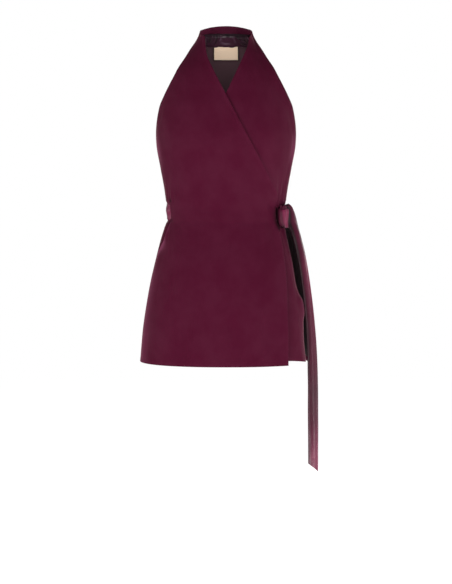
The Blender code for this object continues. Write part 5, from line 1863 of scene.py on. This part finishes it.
@dataclass
class Studio:
    """Camera, soft lights, white surroundings and a plain pale floor."""
    camera_place: Colour = (0.0, -4.0, -0.30)
    camera_aim: Colour = (0.0, 0.0, -0.6015)
    lens: float = 105.0
    backdrop: float = 1.0
    fill: float = 0.36
    floor_z: float = -1.70
    floor_glow: float = 0.65
    lights: tuple[SoftLight, ...] = (
        SoftLight("right_key", (2.7, -2.9, -1.0), (1.1, 0.6), 59.0, (0.0, 0.0, -0.8)),
        SoftLight("left_key", (-2.7, -2.7, -1.0), (1.1, 0.6), 60.0, (0.0, 0.0, -0.8)),
        SoftLight("low_front", (0.1, -3.1, -1.28), (1.8, 0.20), 56.0, (0.0, 0.0, -0.80)),
        SoftLight("right_rim", (2.5, 0.50, -0.45), (0.8, 1.2), 15.0, (0.0, 0.0, -0.45)),
        SoftLight("right_low", (2.4, 0.50, -1.52), (0.5, 0.25), 32.0, (0.2, 0.0, -1.0)),
        SoftLight("left_rim", (-2.5, 0.50, -0.45), (0.8, 1.2), 26.0, (0.0, 0.0, -0.45)),
        SoftLight("back_softbox", (0.6, 3.6, 0.1), (2.0, 2.0), 60.0, (0.0, 0.0, -0.5)),
    )

    def build(self) -> None:
        """Set up everything that isn't the garment."""
        scene = bpy.context.scene
        scene.view_settings.view_transform = "Standard"
        scene.view_settings.look = "None"
        scene.view_settings.exposure = 0.0
        scene.view_settings.gamma = 1.0
        scene.world = self.room()
        for light in self.lights:
            light.build()
        self.floor()
        camera = bpy.data.objects.new("camera", bpy.data.cameras.new("camera"))
        camera.data.lens = self.lens
        camera.data.sensor_width = 36.0
        camera.data.sensor_fit = "AUTO"
        camera.data.clip_start, camera.data.clip_end = 0.1, 60.0
        camera.location = self.camera_place
        aim = Vector(self.camera_aim) - Vector(self.camera_place)
        camera.rotation_euler = aim.to_track_quat("-Z", "Y").to_euler()
        scene.collection.objects.link(camera)
        scene.camera = camera

    def room(self) -> bpy.types.World:
        """A white backdrop, and a softer white that lights the garment from all round."""
        world = bpy.data.worlds.new("white_room")
        world.use_nodes = True
        board = Board(world.node_tree)
        seen = board.add("ShaderNodeLightPath").outputs["Is Camera Ray"]
        strength = board.add("ShaderNodeMix", {"Factor": seen, 2: self.fill, 3: self.backdrop})
        ground = world.node_tree.nodes["Background"]
        ground.inputs["Color"].default_value = (1.0, 1.0, 1.0, 1.0)
        board.tree.links.new(strength.outputs[0], ground.inputs["Strength"])
        return world

    def floor(self) -> None:
        """A plain pale floor under the garment, lit to the white of the backdrop."""
        mesh = bpy.data.meshes.new("floor")
        half = 7.0
        corners = [(-half, -half), (half, -half), (half, half), (-half, half)]
        mesh.from_pydata([(x, y, self.floor_z) for x, y in corners], [], [(0, 1, 2, 3)])
        material = bpy.data.materials.new("pale_floor")
        material.use_nodes = True
        shader = material.node_tree.nodes["Principled BSDF"]
        shader.inputs["Base Color"].default_value = (0.95, 0.95, 0.95, 1.0)
        shader.inputs["Roughness"].default_value = 0.9
        shader.inputs["Specular IOR Level"].default_value = 0.0
        shader.inputs["Emission Color"].default_value = (1.0, 1.0, 1.0, 1.0)
        board = Board(material.node_tree)
        seen = board.add("ShaderNodeLightPath").outputs["Is Camera Ray"]
        glow = board.maths("MULTIPLY", seen, self.floor_glow)
        board.tree.links.new(glow, shader.inputs["Emission Strength"])
        mesh.materials.append(material)
        obj = bpy.data.objects.new("floor", mesh)
        bpy.context.scene.collection.objects.link(obj)


def main() -> None:
    """Build the waistcoat and its studio."""
    logging.basicConfig(level=logging.INFO, format="%(name)s: %(message)s")
    maker = Maker(TorsoForm(), FinishShelf())
    Studio().build()
    Fronts(maker).build()
    back = BackPanel(maker)
    back.build()
    neck = NeckInside(maker, back)
    neck.build()
    WaistTie(maker, RibbonTree()).build()
    Stitching(maker, neck, StitchTree()).build()
    LOG.info("%d pieces for %d nodes", len(maker.made), len(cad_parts))


if __name__ == "__main__":
    main()
